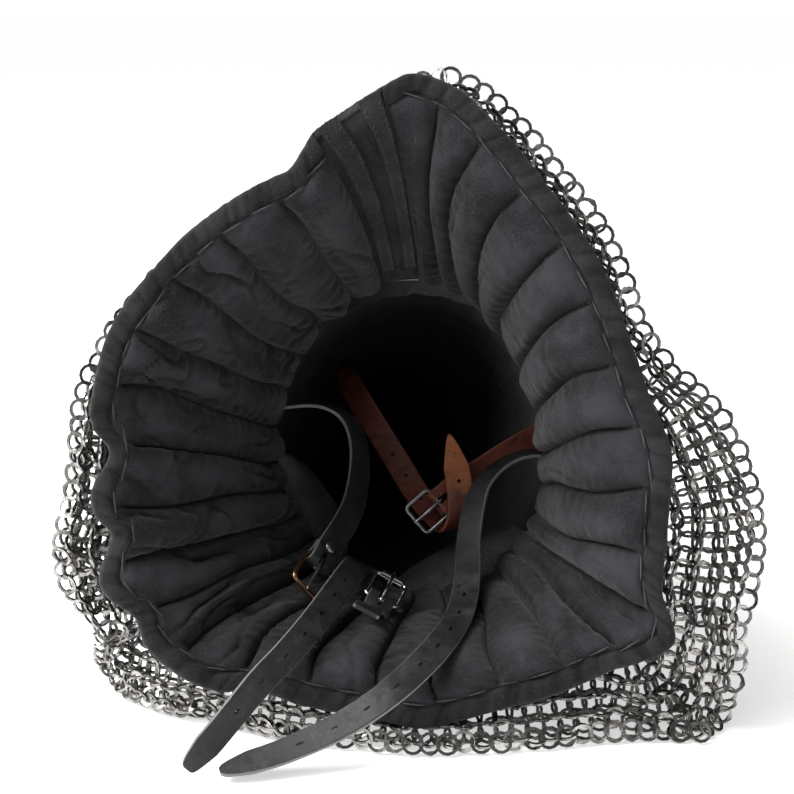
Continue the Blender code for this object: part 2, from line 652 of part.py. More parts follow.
def buckle_frame(name, bar, material):
    """A rounded rectangle of wire; one of its bars lies in the strap's loop."""
    near, forward, length, across, _ = buckle_axes(bar)
    half = STRAP_WIDTH / 2 + SIDE_GAP + WIRE
    points = []
    for side, far, start in ((-1, 0, 180), (1, 0, 270), (1, 1, 0), (-1, 1, 90)):
        middle = (near + across * (half - BUCKLE_CORNER) * side
                  + forward * (length - BUCKLE_CORNER if far else BUCKLE_CORNER))
        for t in np.radians(start + np.linspace(0, 90, 4)):
            points.append(middle + BUCKLE_CORNER * (across * math.cos(t) + forward * math.sin(t)))
    return wire(name, points, WIRE, material, pivot=near, cyclic=True)


def prong(name, bar, material, side=1.0, rise=0.0):
    """A tongue: an eye round the bar and a pin that rests on the far bar."""
    near, forward, length, across, up = buckle_axes(bar)
    up = up * side
    eye = WIRE + TOUCH + PRONG_WIRE + 0.1
    points = [near + eye * (forward * math.cos(t) + up * math.sin(t))
              for t in np.radians(np.linspace(*PRONG_EYE, 13))]
    rest = WIRE + PRONG_WIRE + TOUCH + rise
    for part_way, lift in PRONG_RISE:
        points.append(near + forward * length * part_way + up * (rest + lift))
    points.append(near + forward * (length + PRONG_OVER) + up * rest)
    return wire(name, points, PRONG_WIRE, material, pivot=near)


def rivet(name, centre, axis, radius, material):
    """A flat rivet head that lies on the leather; its axis points out of it."""
    profile = bmesh.new()
    bmesh.ops.create_cone(profile, cap_ends=True, segments=14, radius1=radius * MM,
                          radius2=radius * 0.8 * MM, depth=RIVET_HEIGHT * MM)
    mesh = bpy.data.meshes.new(name)
    profile.to_mesh(mesh)
    profile.free()
    place = world(np.array([centre, np.asarray(centre) + np.asarray(axis)]))
    turn = Vector(place[1] - place[0]).to_track_quat("Z", "Y")
    mesh.transform(turn.to_matrix().to_4x4())
    mesh.materials.append(material)
    thing = bpy.data.objects.new(name, mesh)
    thing.location = place[0]
    parts.objects.link(thing)
    return thing


def roller(name, bar, material):
    """A tube that turns on the far bar of a buckle."""
    near, forward, length, across, up = buckle_axes(bar)
    far = near + forward * length
    turn = np.arange(12) * math.pi / 6
    circle = forward[None] * np.cos(turn)[:, None] + up[None] * np.sin(turn)[:, None]
    ends = [far + across * ROLLER_LENGTH / 2 * side for side in (-1, 1)]
    inner = np.stack([end + circle * (WIRE + 2 * TOUCH) for end in ends])
    outer = np.stack([end + circle * (WIRE + 2 * TOUCH + ROLLER_WALL) for end in ends])
    return wall(name, inner, outer, material)


def build_straps():
    black = make_material("black_strap_leather", (0.035, 0.036, 0.036), 0.5)
    brown = make_material("brown_strap_leather", (0.12, 0.035, 0.022), 0.5)
    bronze = make_material("bronze_wire", (0.35, 0.2, 0.12), 0.35, 1.0)
    grey_wire = make_material("steel_wire", (0.4, 0.4, 0.4), 0.35, 1.0)
    chrome = make_material("chrome_wire", (0.7, 0.7, 0.72), 0.15, 1.0)

    looped_strap("chin_strap_left", CHIN_STRAP_LEFT, 3, CHIN_BAR, black)
    buckle_frame("chin_buckle", CHIN_BAR, bronze)
    prong("chin_prong", CHIN_BAR, grey_wire)
    near, forward, _, _, up = buckle_axes(CHIN_BAR)
    face = WIRE + LOOP_GAP + STRAP_THICKNESS + TOUCH
    head = near - forward * RIVET_BACK + up * (face + RIVET_HEIGHT / 2)
    rivet("chin_rivet", head, up, RIVET_RADIUS, grey_wire)

    plain_strap("chin_strap_right", CHIN_STRAP_RIGHT, 3, black, floor=FLOOR_CLEAR)
    plain_strap("aventail_strap", AVENTAIL_STRAP, 3, black, floor=FLOOR_CLEAR)
    looped_strap("buckle_tab", BUCKLE_TAB, 2, CHROME_BAR, black, side=-1.0, returns=11.0)
    buckle_frame("chrome_buckle", CHROME_BAR, chrome)
    roller("chrome_roller", CHROME_BAR, chrome)
    prong("chrome_prong", CHROME_BAR, chrome, side=-1.0, rise=2 * TOUCH + ROLLER_WALL)

    plain_strap("brown_strap_left", BROWN_STRAP_LEFT, 3, brown)
    looped_strap("brown_strap_right", BROWN_STRAP_RIGHT, 3, BROWN_BAR, brown, side=-1.0)
    buckle_frame("brown_buckle", BROWN_BAR, grey_wire)
    prong("brown_prong", BROWN_BAR, grey_wire, side=-1.0)


def main():
    build_padding()
    build_mail()
    build_skull()
    build_pads()
    build_straps()


for thing in list(bpy.data.objects):
    bpy.data.objects.remove(thing, do_unlink=True)
parts = bpy.data.collections.new(COLLECTION)
guides = bpy.data.collections.new("cutters")
bpy.context.scene.collection.children.link(parts)
bpy.context.scene.collection.children.link(guides)
main()
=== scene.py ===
# A bascinet with its padded mail aventail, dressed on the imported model's frame
import math

import bmesh
import bpy
import numpy as np
from mathutils import Matrix, Vector, noise


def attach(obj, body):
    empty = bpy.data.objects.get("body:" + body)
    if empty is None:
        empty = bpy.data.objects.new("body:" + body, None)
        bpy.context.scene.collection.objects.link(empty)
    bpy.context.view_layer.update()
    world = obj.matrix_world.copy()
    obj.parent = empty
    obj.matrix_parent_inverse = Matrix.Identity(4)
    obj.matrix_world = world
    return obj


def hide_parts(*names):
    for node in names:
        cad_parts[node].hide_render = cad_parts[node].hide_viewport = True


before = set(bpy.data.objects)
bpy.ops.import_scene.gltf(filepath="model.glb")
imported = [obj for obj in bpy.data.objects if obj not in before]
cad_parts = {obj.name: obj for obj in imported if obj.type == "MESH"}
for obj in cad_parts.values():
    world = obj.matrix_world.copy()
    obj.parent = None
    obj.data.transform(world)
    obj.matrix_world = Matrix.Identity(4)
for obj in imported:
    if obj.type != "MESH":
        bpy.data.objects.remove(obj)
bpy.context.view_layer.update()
parts = bpy.data.collections.new("bascinet")
bpy.context.scene.collection.children.link(parts)

# Lengths are millimetres in the helmet's own frame: x right, y into the skull, z up, from the rim's middle
placing = {"tilt": math.radians(13.0), "rimHeight": 185.0, "originX": 13.83, "originY": 138.44,
           "viewReach": 987.0}
tiltCos, tiltSin = math.cos(placing["tilt"]), math.sin(placing["tilt"])
intoSkull = np.array([0.0, 1.0, 0.0])
offGround = np.array([0, -tiltSin, tiltCos])  # straight up from the floor


def turnOnly(vectors):  # directions from the helmet's frame to the world's
    x, y, z = np.moveaxis(np.asarray(vectors, float), -1, 0)
    return np.stack([x, y * tiltCos + z * tiltSin, z * tiltCos - y * tiltSin], -1)


def place(points):
    return (turnOnly(points) + (-placing["originX"], -placing["originY"], placing["rimHeight"])) * 0.001


def aboveFloor(points):
    return points[..., 2] * tiltCos - points[..., 1] * tiltSin + placing["rimHeight"]


def smooth(knots, values, at):
    knots = np.asarray(knots, float)
    values = np.asarray(values, float)
    step = np.diff(knots)
    rise = np.diff(values) / step
    both = rise[:-1] * rise[1:]
    slope = np.zeros_like(values)
    slope[1:-1] = np.where(both > 0, 2 * both / np.where(both > 0, rise[:-1] + rise[1:], 1), 0)
    index = np.clip(np.searchsorted(knots, at) - 1, 0, len(step) - 1)
    t = (at - knots[index]) / step[index]
    start = values[index] * (1 + 2 * t) * (1 - t) ** 2 + slope[index] * step[index] * t * (1 - t) ** 2
    end = values[index + 1] * t * t * (3 - 2 * t) + slope[index + 1] * step[index] * t * t * (t - 1)
    return start + end


def around(table, column, angles):  # a column of a table that goes once round
    rows = sorted(table)
    knots = [row[0] + turn for turn in (-360, 0, 360) for row in rows]
    return smooth(knots, [row[column] for row in rows] * 3, np.asarray(angles, float))


def along(rows, count):
    rows = np.asarray(rows, float)
    ends = np.vstack([2 * rows[0] - rows[1], rows, 2 * rows[-1] - rows[-2]])
    points = []
    for i in range(len(rows) - 1):
        a, b, c, d = ends[i:i + 4]
        for t in np.arange(count) / count:
            points.append(0.5 * (2 * b + (c - a) * t + (2 * a - 5 * b + 4 * c - d) * t * t
                                 + (3 * b - a - 3 * c + d) * t ** 3))
    points.append(rows[-1])
    return np.array(points)


def unit(vectors):
    vectors = np.asarray(vectors, float)
    return vectors / np.maximum(np.linalg.norm(vectors, axis=-1, keepdims=True), 1e-12)


def squareTo(vectors, axis):  # what of the vectors stands square to an axis
    return unit(vectors - np.sum(vectors * axis, -1, keepdims=True) * axis)


def runAlong(line):  # the length from a line's start to each of its points
    return np.concatenate([[0], np.cumsum(np.linalg.norm(np.diff(line, axis=0), axis=1))])


def readOff(at, run, line, **how):  # the points of a line at given lengths
    return np.stack([np.interp(at, run, line[:, k], **how) for k in range(3)], -1)


def ripple(x, y, z=0.0):  # smooth noise from -1 to 1 over arrays of places
    x, y, z = np.broadcast_arrays(np.asarray(x, float), y, z)
    flat = [noise.noise(Vector(p)) for p in zip(x.ravel(), y.ravel(), z.ravel())]
    return np.array(flat).reshape(x.shape)


# Shader nodes written as expressions

class Wire:
    def __init__(self, finish, socket):
        self.finish = finish
        self.socket = socket

    def math(self, operation, first, second=0.0):
        return self.finish.node("ShaderNodeMath", {"operation": operation}, {0: first, 1: second})

    def wave(self):
        return self.math("SINE", self)

    def __add__(self, other):
        return self.math("ADD", self, other)

    def __radd__(self, other):
        return self.math("ADD", other, self)

    def __sub__(self, other):
        return self.math("SUBTRACT", self, other)

    def __rsub__(self, other):
        return self.math("SUBTRACT", other, self)

    def __mul__(self, other):
        return self.math("MULTIPLY", self, other)

    def __rmul__(self, other):
        return self.math("MULTIPLY", other, self)


class Finish:
    def __init__(self, name, **sockets):
        self.material = bpy.data.materials.new(name)
        self.material.use_nodes = True
        self.tree = self.material.node_tree
        self.shader = self.tree.nodes["Principled BSDF"]
        for key, value in sockets.items():  # values that are the same all over
            self.shader.inputs[key.replace("_", " ")].default_value = value
        self.places = self.node("ShaderNodeTexCoord", out="Object")
        self.weave = self.node("ShaderNodeTexCoord", out="UV")

    def node(self, kind, settings=None, values=None, out=0):
        made = self.tree.nodes.new(kind)
        for key, value in (settings or {}).items():
            setattr(made, key, value)
        for key, value in (values or {}).items():
            if isinstance(value, Wire):
                self.tree.links.new(value.socket, made.inputs[key])
            else:
                made.inputs[key].default_value = value
        return Wire(self, made.outputs[out])

    def grain(self, scale, detail, rough, distortion=0.0):
        return self.node("ShaderNodeTexNoise", None, {"Vector": self.places, "Scale": scale,
                         "Detail": detail, "Roughness": rough, "Distortion": distortion})

    def fit(self, value, low, high, toLow=0.0, toHigh=1.0):
        return self.node("ShaderNodeMapRange", {"interpolation_type": "SMOOTHSTEP"},
                         {"Value": value, "From Min": low, "From Max": high, "To Min": toLow,
                          "To Max": toHigh})

    def blend(self, share, first, second):
        first, second = [value if isinstance(value, Wire) else (*value, 1) for value in (first, second)]
        return self.node("ShaderNodeMix", {"data_type": "RGBA"}, {0: share, 6: first, 7: second}, out=2)

    def fromWeave(self):  # the UV map's two numbers
        made = self.tree.nodes.new("ShaderNodeSeparateXYZ")
        self.tree.links.new(self.weave.socket, made.inputs[0])
        return Wire(self, made.outputs[0]), Wire(self, made.outputs[1])

    def bump(self, height, strength, distance, under=None):
        values = {"Height": height, "Strength": strength, "Distance": distance}
        if under:
            values["Normal"] = under
        return self.node("ShaderNodeBump", None, values)

    def feed(self, **sockets):
        for key, value in sockets.items():
            self.tree.links.new(value.socket, self.shader.inputs[key.replace("_", " ")])
        return self.material


perMillimetre = 6283.0  # turns a UV map in metres into waves a millimetre long


def makeCloth(name, dark, light, lint=0.5, weave=1.0, sheen=0.08, crumple=1.0):
    cloth = Finish(name, Sheen_Weight=sheen, Sheen_Roughness=0.45, Specular_IOR_Level=0.25)
    broad = cloth.grain(26, 4, 0.6)
    fine = cloth.grain(900, 2, 0.6)
    dust = cloth.fit(cloth.grain(1500, 1, 0.5), 0.735, 0.79, 0, lint)
    worn = cloth.fit(broad, 0.38, 0.66)
    base = cloth.blend(worn, tuple(c * 0.75 for c in dark), light)
    base = cloth.blend(cloth.fit(fine, 0.3, 0.75, 0, 0.45), base, tuple(c * 1.6 for c in light))
    base = cloth.blend(dust, base, (0.16, 0.16, 0.165))
    # painted shade: the fold attribute darkens the cloth towards near black in seams, folds, the hem's
    # creases and towards the neck
    fold = cloth.node("ShaderNodeAttribute", {"attribute_name": "fold"}, out="Fac")
    base = cloth.blend(fold, base, tuple(c * 0.22 for c in dark))
    across, down = cloth.fromWeave()
    twill = ((across + down) * (perMillimetre / 1.3)).wave()
    thread = ((across - down * 0.6) * (perMillimetre / 0.9)).wave()
    raised = cloth.bump(twill * 0.5 + thread * 0.3 + fine * 1.2, 0.35 * weave, 0.0004)
    raised = cloth.bump(cloth.grain(150, 3, 0.6, distortion=0.8), 0.45, 0.0016, raised)
    crease = cloth.node("ShaderNodeTexNoise", {"noise_type": "RIDGED_MULTIFRACTAL"},
                        {"Vector": cloth.places, "Scale": 34.0, "Detail": 2.0, "Distortion": 1.2})
    raised = cloth.bump(cloth.fit(crease, 0.9, 1.7, 1, 0), 0.4 * crumple, 0.0024, raised)
    rough = cloth.fit(broad, 0.3, 0.7, 0.94, 0.8)
    return cloth.feed(Base_Color=base, Roughness=rough, Normal=raised)


def makeLeather(name, dark, light, edge, scuff, rough=(0.42, 0.62)):
    hide = Finish(name, Specular_IOR_Level=0.45)
    tone = hide.grain(45, 4, 0.6)
    pores = hide.node("ShaderNodeTexVoronoi", {"feature": "DISTANCE_TO_EDGE"},
                      {"Vector": hide.places, "Scale": 900.0})
    base = hide.blend(hide.fit(tone, 0.32, 0.7), dark, light)
    scratch = hide.fit(hide.grain(420, 3, 0.7, distortion=1.5), 0.56, 0.72, 0, 0.7)
    base = hide.blend(scratch, base, scuff)
    wear = hide.fit(hide.grain(75, 5, 0.75, distortion=0.8), 0.5, 0.68, 0, 0.55)
    base = hide.blend(wear, base, scuff)
    dirt = hide.fit(hide.grain(110, 4, 0.7), 0.52, 0.66, 0, 0.7)
    base = hide.blend(dirt, base, tuple(c * 0.45 for c in dark))
    side = hide.fromWeave()[0]  # how near the strap's cut edge a place is
    rub = hide.fit(side + hide.grain(300, 2, 0.5) * 0.25, 0.88, 1.05, 0, 0.85)
    base = hide.blend(rub, base, edge)
    raised = hide.bump(hide.fit(pores, 0.0, 0.12), 0.25, 0.0003)
    raised = hide.bump(tone * 0.6 + hide.grain(130, 2, 0.5) * 0.4, 0.3, 0.0012, raised)
    return hide.feed(Base_Color=base, Roughness=hide.fit(tone, 0.3, 0.7, *rough), Normal=raised)


def makeMetal(name, colour, worn, rough, scale=60, bumpy=0.2, spots=None):
    metal = Finish(name, Metallic=1.0)
    tone = metal.grain(scale, 4, 0.6)
    base = metal.blend(metal.fit(tone, 0.35, 0.68), colour, worn)
    if spots:
        base = metal.blend(metal.fit(metal.grain(scale * 3, 3, 0.6), 0.56, 0.7, 0, 0.8), base, spots)
    raised = metal.bump(metal.grain(scale * 6, 3, 0.6), bumpy, 0.0004)
    return metal.feed(Base_Color=base, Roughness=metal.fit(tone, 0.3, 0.7, *rough), Normal=raised)


finishes = {
    "padding": makeCloth("blackCotton", (0.0076, 0.0076, 0.0085), (0.029, 0.029, 0.034), sheen=0.14),
    "hem": makeCloth("blackCottonHem", (0.0085, 0.0085, 0.0095), (0.022, 0.022, 0.0245), lint=0.7,
                     sheen=0.12),
    "closure": makeCloth("blackCottonFlat", (0.008, 0.008, 0.0085), (0.019, 0.019, 0.0205), lint=0.7),
    "tape": makeCloth("blackTape", (0.013, 0.013, 0.014), (0.024, 0.024, 0.026), weave=1.6),
    "liner": makeCloth("blackLinen", (0.0045, 0.0045, 0.005), (0.009, 0.009, 0.0095)),
    "pads": makeCloth("blackPadCloth", (0.034, 0.034, 0.037), (0.085, 0.085, 0.092)),
    "thread": makeCloth("blackThread", (0.022, 0.022, 0.024), (0.06, 0.06, 0.064), lint=0.0, sheen=0.1),
    "strap": makeLeather("blackLeather", (0.011, 0.0115, 0.012), (0.023, 0.024, 0.0245),
                         (0.2, 0.203, 0.198), (0.055, 0.057, 0.057)),
    "band": makeLeather("blackBandLeather", (0.006, 0.0055, 0.0055), (0.012, 0.011, 0.0105),
                        (0.03, 0.027, 0.025), (0.022, 0.02, 0.019)),
    "brown": makeLeather("brownLeather", (0.11, 0.027, 0.017), (0.2, 0.05, 0.03),
                         (0.32, 0.1, 0.05), (0.26, 0.075, 0.042), rough=(0.36, 0.55)),
    "suede": makeLeather("brownSuede", (0.2, 0.062, 0.026), (0.31, 0.105, 0.045),
                         (0.34, 0.13, 0.06), (0.33, 0.12, 0.055), rough=(0.8, 0.95)),
    "mail": makeMetal("oiledSteel", (0.14, 0.136, 0.13), (0.46, 0.445, 0.425), (0.4, 0.18), 130, 0.3,
                      (0.035, 0.033, 0.03)),
    "skull": makeMetal("polishedSteel", (0.36, 0.36, 0.365), (0.48, 0.48, 0.485), (0.42, 0.3), 14, 0.09,
                       (0.25, 0.245, 0.24)),
    "bronze": makeMetal("agedBronze", (0.2, 0.11, 0.065), (0.42, 0.26, 0.16), (0.45, 0.25), 220, 0.2,
                        (0.06, 0.04, 0.03)),
    "wire": makeMetal("steelWire", (0.34, 0.34, 0.345), (0.55, 0.55, 0.55), (0.42, 0.24), 220, 0.15),
    "chrome": makeMetal("nickelPlate", (0.62, 0.62, 0.63), (0.75, 0.75, 0.75), (0.2, 0.09), 120, 0.05),
}
print("finishes made")


# Meshes

def closedMesh(bm, name):
    bmesh.ops.recalc_face_normals(bm, faces=bm.faces[:])
    return meshFrom(bm, name)


def meshFrom(bm, name):
    mesh = bpy.data.meshes.new(name)
    bm.to_mesh(mesh)
    bm.free()
    return mesh


def addThing(name, data):  # what isn't a piece of the helmet
    thing = bpy.data.objects.new(name, data)
    bpy.context.scene.collection.objects.link(thing)
    return thing


def layGrid(bm, points, span=(1.0, 1.0)):  # a grid laid on rows of points, with a UV map in metres
    rows, columns = points.shape[:2]
    made = bmesh.ops.create_grid(bm, x_segments=columns - 1, y_segments=rows - 1, size=0.5)["verts"]
    uv = bm.loops.layers.uv.verify()
    spots = {}
    for vert in made:
        spots[vert] = (round((vert.co.y + 0.5) * (rows - 1)), round((vert.co.x + 0.5) * (columns - 1)))
    for face in {face for vert in made for face in vert.link_faces}:
        for loop in face.loops:
            r, c = spots[loop.vert]
            loop[uv].uv = (span[0] * c / (columns - 1), span[1] * r / (rows - 1))
    for vert, (r, c) in spots.items():
        vert.co = Vector(points[r, c])
    return spots


def sheetWall(bm, front, back, span=(1.0, 1.0)):  # a wall between two grids of points, closed all round
    layGrid(bm, place(front), span)
    layGrid(bm, place(back), span)
    bmesh.ops.bridge_loops(bm, edges=[e for e in bm.edges if e.is_boundary])


def hoopWall(bm, inner, outer, span=(1.0, 1.0)):  # the same for grids that go once round
    layGrid(bm, place(np.concatenate([inner, outer[::-1], inner[:1]])), span)
    bmesh.ops.remove_doubles(bm, verts=bm.verts[:], dist=1e-6)


def finishPiece(name, bm, finish, stands=(), body="root", sharp=50):
    bmesh.ops.recalc_face_normals(bm, faces=bm.faces[:])
    if bm.calc_volume(signed=True) < 0:  # a curled strap can come out inside out
        bmesh.ops.reverse_faces(bm, faces=bm.faces[:])
    return addPiece(name, meshFrom(bm, name), finish, stands, body, sharp)


def addPiece(name, mesh, finish, stands=(), body="root", sharp=50):
    mesh.shade_smooth()
    mesh.set_sharp_from_angle(angle=math.radians(sharp))
    mesh.materials.append(finishes[finish])
    piece = bpy.data.objects.new(name, mesh)
    parts.objects.link(piece)
    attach(piece, body)
    if stands:
        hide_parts(*stands)
    return piece


def tube(bm, rings, cyclic=False, edges=None, marks=None):  # a closed tube through rings of points
    closed = np.concatenate([rings, rings[:, :1]], 1)
    if cyclic:
        closed = np.concatenate([closed, closed[:1]], 0)
    layer = None if marks is None else bm.verts.layers.float.new("fold")
    spots = layGrid(bm, place(closed))
    if edges is not None:  # the UV map's first number marks a strap's cut edges
        uv = bm.loops.layers.uv.verify()
        for face in {f for v in spots for f in v.link_faces}:
            for loop in face.loops:
                loop[uv].uv.x = edges[spots[loop.vert][1] % len(edges)]
    # painted shade: the marks become the fold attribute, which darkens the cloth's colour
    if marks is not None:
        for vert, (row, column) in spots.items():
            vert[layer] = marks[row, column % marks.shape[1]]
    bmesh.ops.remove_doubles(bm, verts=[v for v in spots if v.is_valid], dist=1e-6)
    if not cyclic:
        live = {v for v in spots if v.is_valid}
        ends = [e for e in bm.edges if e.is_boundary and e.verts[0] in live]
        bmesh.ops.holes_fill(bm, edges=ends, sides=0)


def carried(centres, across):  # forward, across and face directions along a line
    forward = unit(np.gradient(centres, axis=0))
    across = squareTo(across, forward)
    return forward, across, np.cross(forward, across)


def wireRings(points, radius, sides, cyclic=False):
    points = np.asarray(points, float)
    if cyclic:
        ahead = unit(np.roll(points, -1, 0) - np.roll(points, 1, 0))
    else:
        ahead = unit(np.gradient(points, axis=0))
    middle = points.mean(0)
    normal = np.linalg.svd(points - middle)[2][2]
    side = unit(np.cross(ahead, normal))
    turn = np.arange(sides) * 2 * math.pi / sides
    radius = np.broadcast_to(radius, len(points))[:, None, None]
    return (points[:, None] + radius * (side[:, None] * np.cos(turn)[None, :, None]
                                        + normal * np.sin(turn)[None, :, None]))


def repeatShape(name, shape, turns, spots, finish, stands=(), sharp=50):
    # the same small shape at many places, as one mesh; world metres
    count = len(shape.vertices)
    corner = np.zeros(count * 3)
    shape.vertices.foreach_get("co", corner)
    corner = corner.reshape(-1, 3)
    loops = np.zeros(len(shape.loops), int)
    shape.loops.foreach_get("vertex_index", loops)
    starts = np.zeros(len(shape.polygons), int)
    shape.polygons.foreach_get("loop_start", starts)
    where = np.einsum("nij,kj->nki", turns, corner) + spots[:, None]
    number = np.arange(len(spots))[:, None]
    mesh = bpy.data.meshes.new(name)
    mesh.vertices.add(len(spots) * count)
    mesh.vertices.foreach_set("co", where.ravel())
    mesh.loops.add(len(spots) * len(loops))
    mesh.loops.foreach_set("vertex_index", (number * count + loops[None]).ravel())
    mesh.polygons.add(len(spots) * len(starts))
    mesh.polygons.foreach_set("loop_start", (number * len(loops) + starts[None]).ravel())
    mesh.update(calc_edges=True)
    mesh.validate()
    return addPiece(name, mesh, finish, stands, sharp=sharp)


def sew(name, slot, spots, runs, ups, length, width, height):  # stitches along their runs
    bm = bmesh.new()  # a stitch is a millimetre long and wide before it is scaled
    bmesh.ops.create_uvsphere(bm, u_segments=6, v_segments=4, radius=0.0005)
    spots, runs, ups = [np.broadcast_to(v, spots.shape).reshape(-1, 3) for v in (spots, runs, ups)]
    runs = unit(turnOnly(runs))
    sides = unit(np.cross(turnOnly(ups), runs))
    length = np.broadcast_to(length, len(spots))[:, None]
    turns = np.stack([runs * length, sides * width, np.cross(runs, sides) * height], -1)
    repeatShape(name, meshFrom(bm, "stitch"), turns, place(spots), "thread")


# The padding: quilted channels from the rim to the neck
padding = {
    "rim": ((-170, 163), (-160, 168), (-147, 184), (-132, 186), (-120, 184), (-109, 171), (-95, 171),
            (-82, 179), (-71, 179), (-60, 185), (-50, 192), (-40, 206), (-34, 183), (-20, 166),
            (-10, 159), (2, 144), (17, 138), (34, 140), (51, 146), (66, 160), (78, 175), (84, 178),
            (92, 166), (98, 157), (104, 150), (113, 134), (129, 136), (150, 143), (167, 153), (179, 157)),
    "notches": ((-169, 13, 4.5), (-153, 13, 4), (-139, 7, 4), (-116, 4, 5)),
    "swell": ((-170, 0), (-60, 0), (-40, 6), (-22, 15), (0, 26), (40, 25), (62, 20), (78, 12), (88, 2),
              (100, 0)),
    "neck": (22.0, -22.0), "neckSize": (86.0, 96.0), "neckDepth": 133.0,
    "lip": 1.0, "mouth": (28.0, 0.9, 17.0), "throat": (1.06, 92.0),
    "hemWidth": 12.0, "hemDepth": 12.0, "hemMiddle": 3.0, "gap": 0.3,
    "thickness": 9.0, "closure": (90.0, 105.0), "slack": -0.1, "tuck": 2.2,
    "channels": 28, "channelWidth": 36.0, "channelLength": 165.0, "steps": 20, "rows": 74, "wander": 5.0,
    "puff": 6.4, "groove": 2.8, "pucker": 0.9, "folds": 3.4, "crease": 2.8,
    "seamRows": (0.02, 0.985, 50), "stitch": (0.72, 0.7, 0.5),  # share of the spacing, width, height
}


def rimLine(angles):
    radius = around(padding["rim"], 1, angles)
    for middle, depth, half in padding["notches"]:
        off = (np.asarray(angles) - middle + 180) % 360 - 180
        radius = radius - depth * np.exp(-(off / half) ** 2)
    turn = np.radians(angles)
    return np.stack([radius * np.cos(turn), 0 * turn, radius * np.sin(turn)], -1)


def markPaintedShade(bm, values):  # how deep in a fold or seam each of the first points lies, kept as painted shade that darkens the cloth's colour
    layer = bm.verts.layers.float.new("fold")
    bm.verts.ensure_lookup_table()
    for vert, value in zip(bm.verts[:values.size], values.ravel()):
        vert[layer] = value


def inwardAt(angles):
    spread = np.radians(np.arange(-14, 15, 2))  # smoothed over the notches
    ahead, behind = [sum(rimLine(np.asarray(angles) + math.degrees(s) + step) for s in spread)
                     for step in (2, -2)]
    tangent = unit(ahead - behind)
    return np.stack([-tangent[..., 2], 0 * tangent[..., 1], tangent[..., 0]], -1)


def rimAngles(first, last, count):
    fine = np.linspace(first, last, 2000)
    line = rimLine(fine)
    length = runAlong(line)
    return np.interp(np.linspace(0, length[-1], count), length, fine), length[-1]


def collar(angles, rows, start):
    p = padding
    inward = inwardAt(angles)
    swell = around(p["swell"], 1, angles)[:, None]
    turn = np.radians(angles)
    reach = np.stack([p["neckSize"][0] * np.cos(turn), 0 * turn, p["neckSize"][1] * np.sin(turn)], -1)
    middle = np.array([p["neck"][0], 0, p["neck"][1]])
    first = rimLine(angles) + inward * start + intoSkull * p["lip"]
    second = first + inward * (p["mouth"][0] + swell * p["mouth"][1]) + intoSkull * p["mouth"][2]
    third = middle + reach * p["throat"][0] + inward * swell + intoSkull * p["throat"][1]
    fourth = middle + reach + intoSkull * p["neckDepth"]
    s = np.asarray(rows)[:, None, None]
    return (first * (1 - s) ** 3 + 3 * second * s * (1 - s) ** 2
            + 3 * third * s * s * (1 - s) + fourth * s ** 3)


def collarFaces(angles, rows, start):  # the way round the collar and the way out of it
    down = np.gradient(collar(angles, rows, start), axis=0)
    side = collar(angles + 0.5, rows, start) - collar(angles - 0.5, rows, start)
    return side, unit(np.cross(down, side))


def collarNormals(angles, rows, start):
    p = padding
    normal = collarFaces(angles, rows, start)[1]
    turn = np.radians(angles)
    ends = unit(np.stack([np.cos(turn) / p["neckSize"][0], 0 * turn, np.sin(turn) / p["neckSize"][1]], -1))
    s = np.asarray(rows)[:, None, None]
    rim = np.clip(1 - s / 0.08, 0, 1)
    neck = np.clip((s - 0.92) / 0.08, 0, 1)
    normal = normal * (1 - rim) * (1 - neck) + rim * intoSkull + neck * ends[None]
    return unit(normal)


def crease(value, sharp):  # thin dark lines where a smooth noise passes through nought
    return np.exp(-(value / sharp) ** 2)


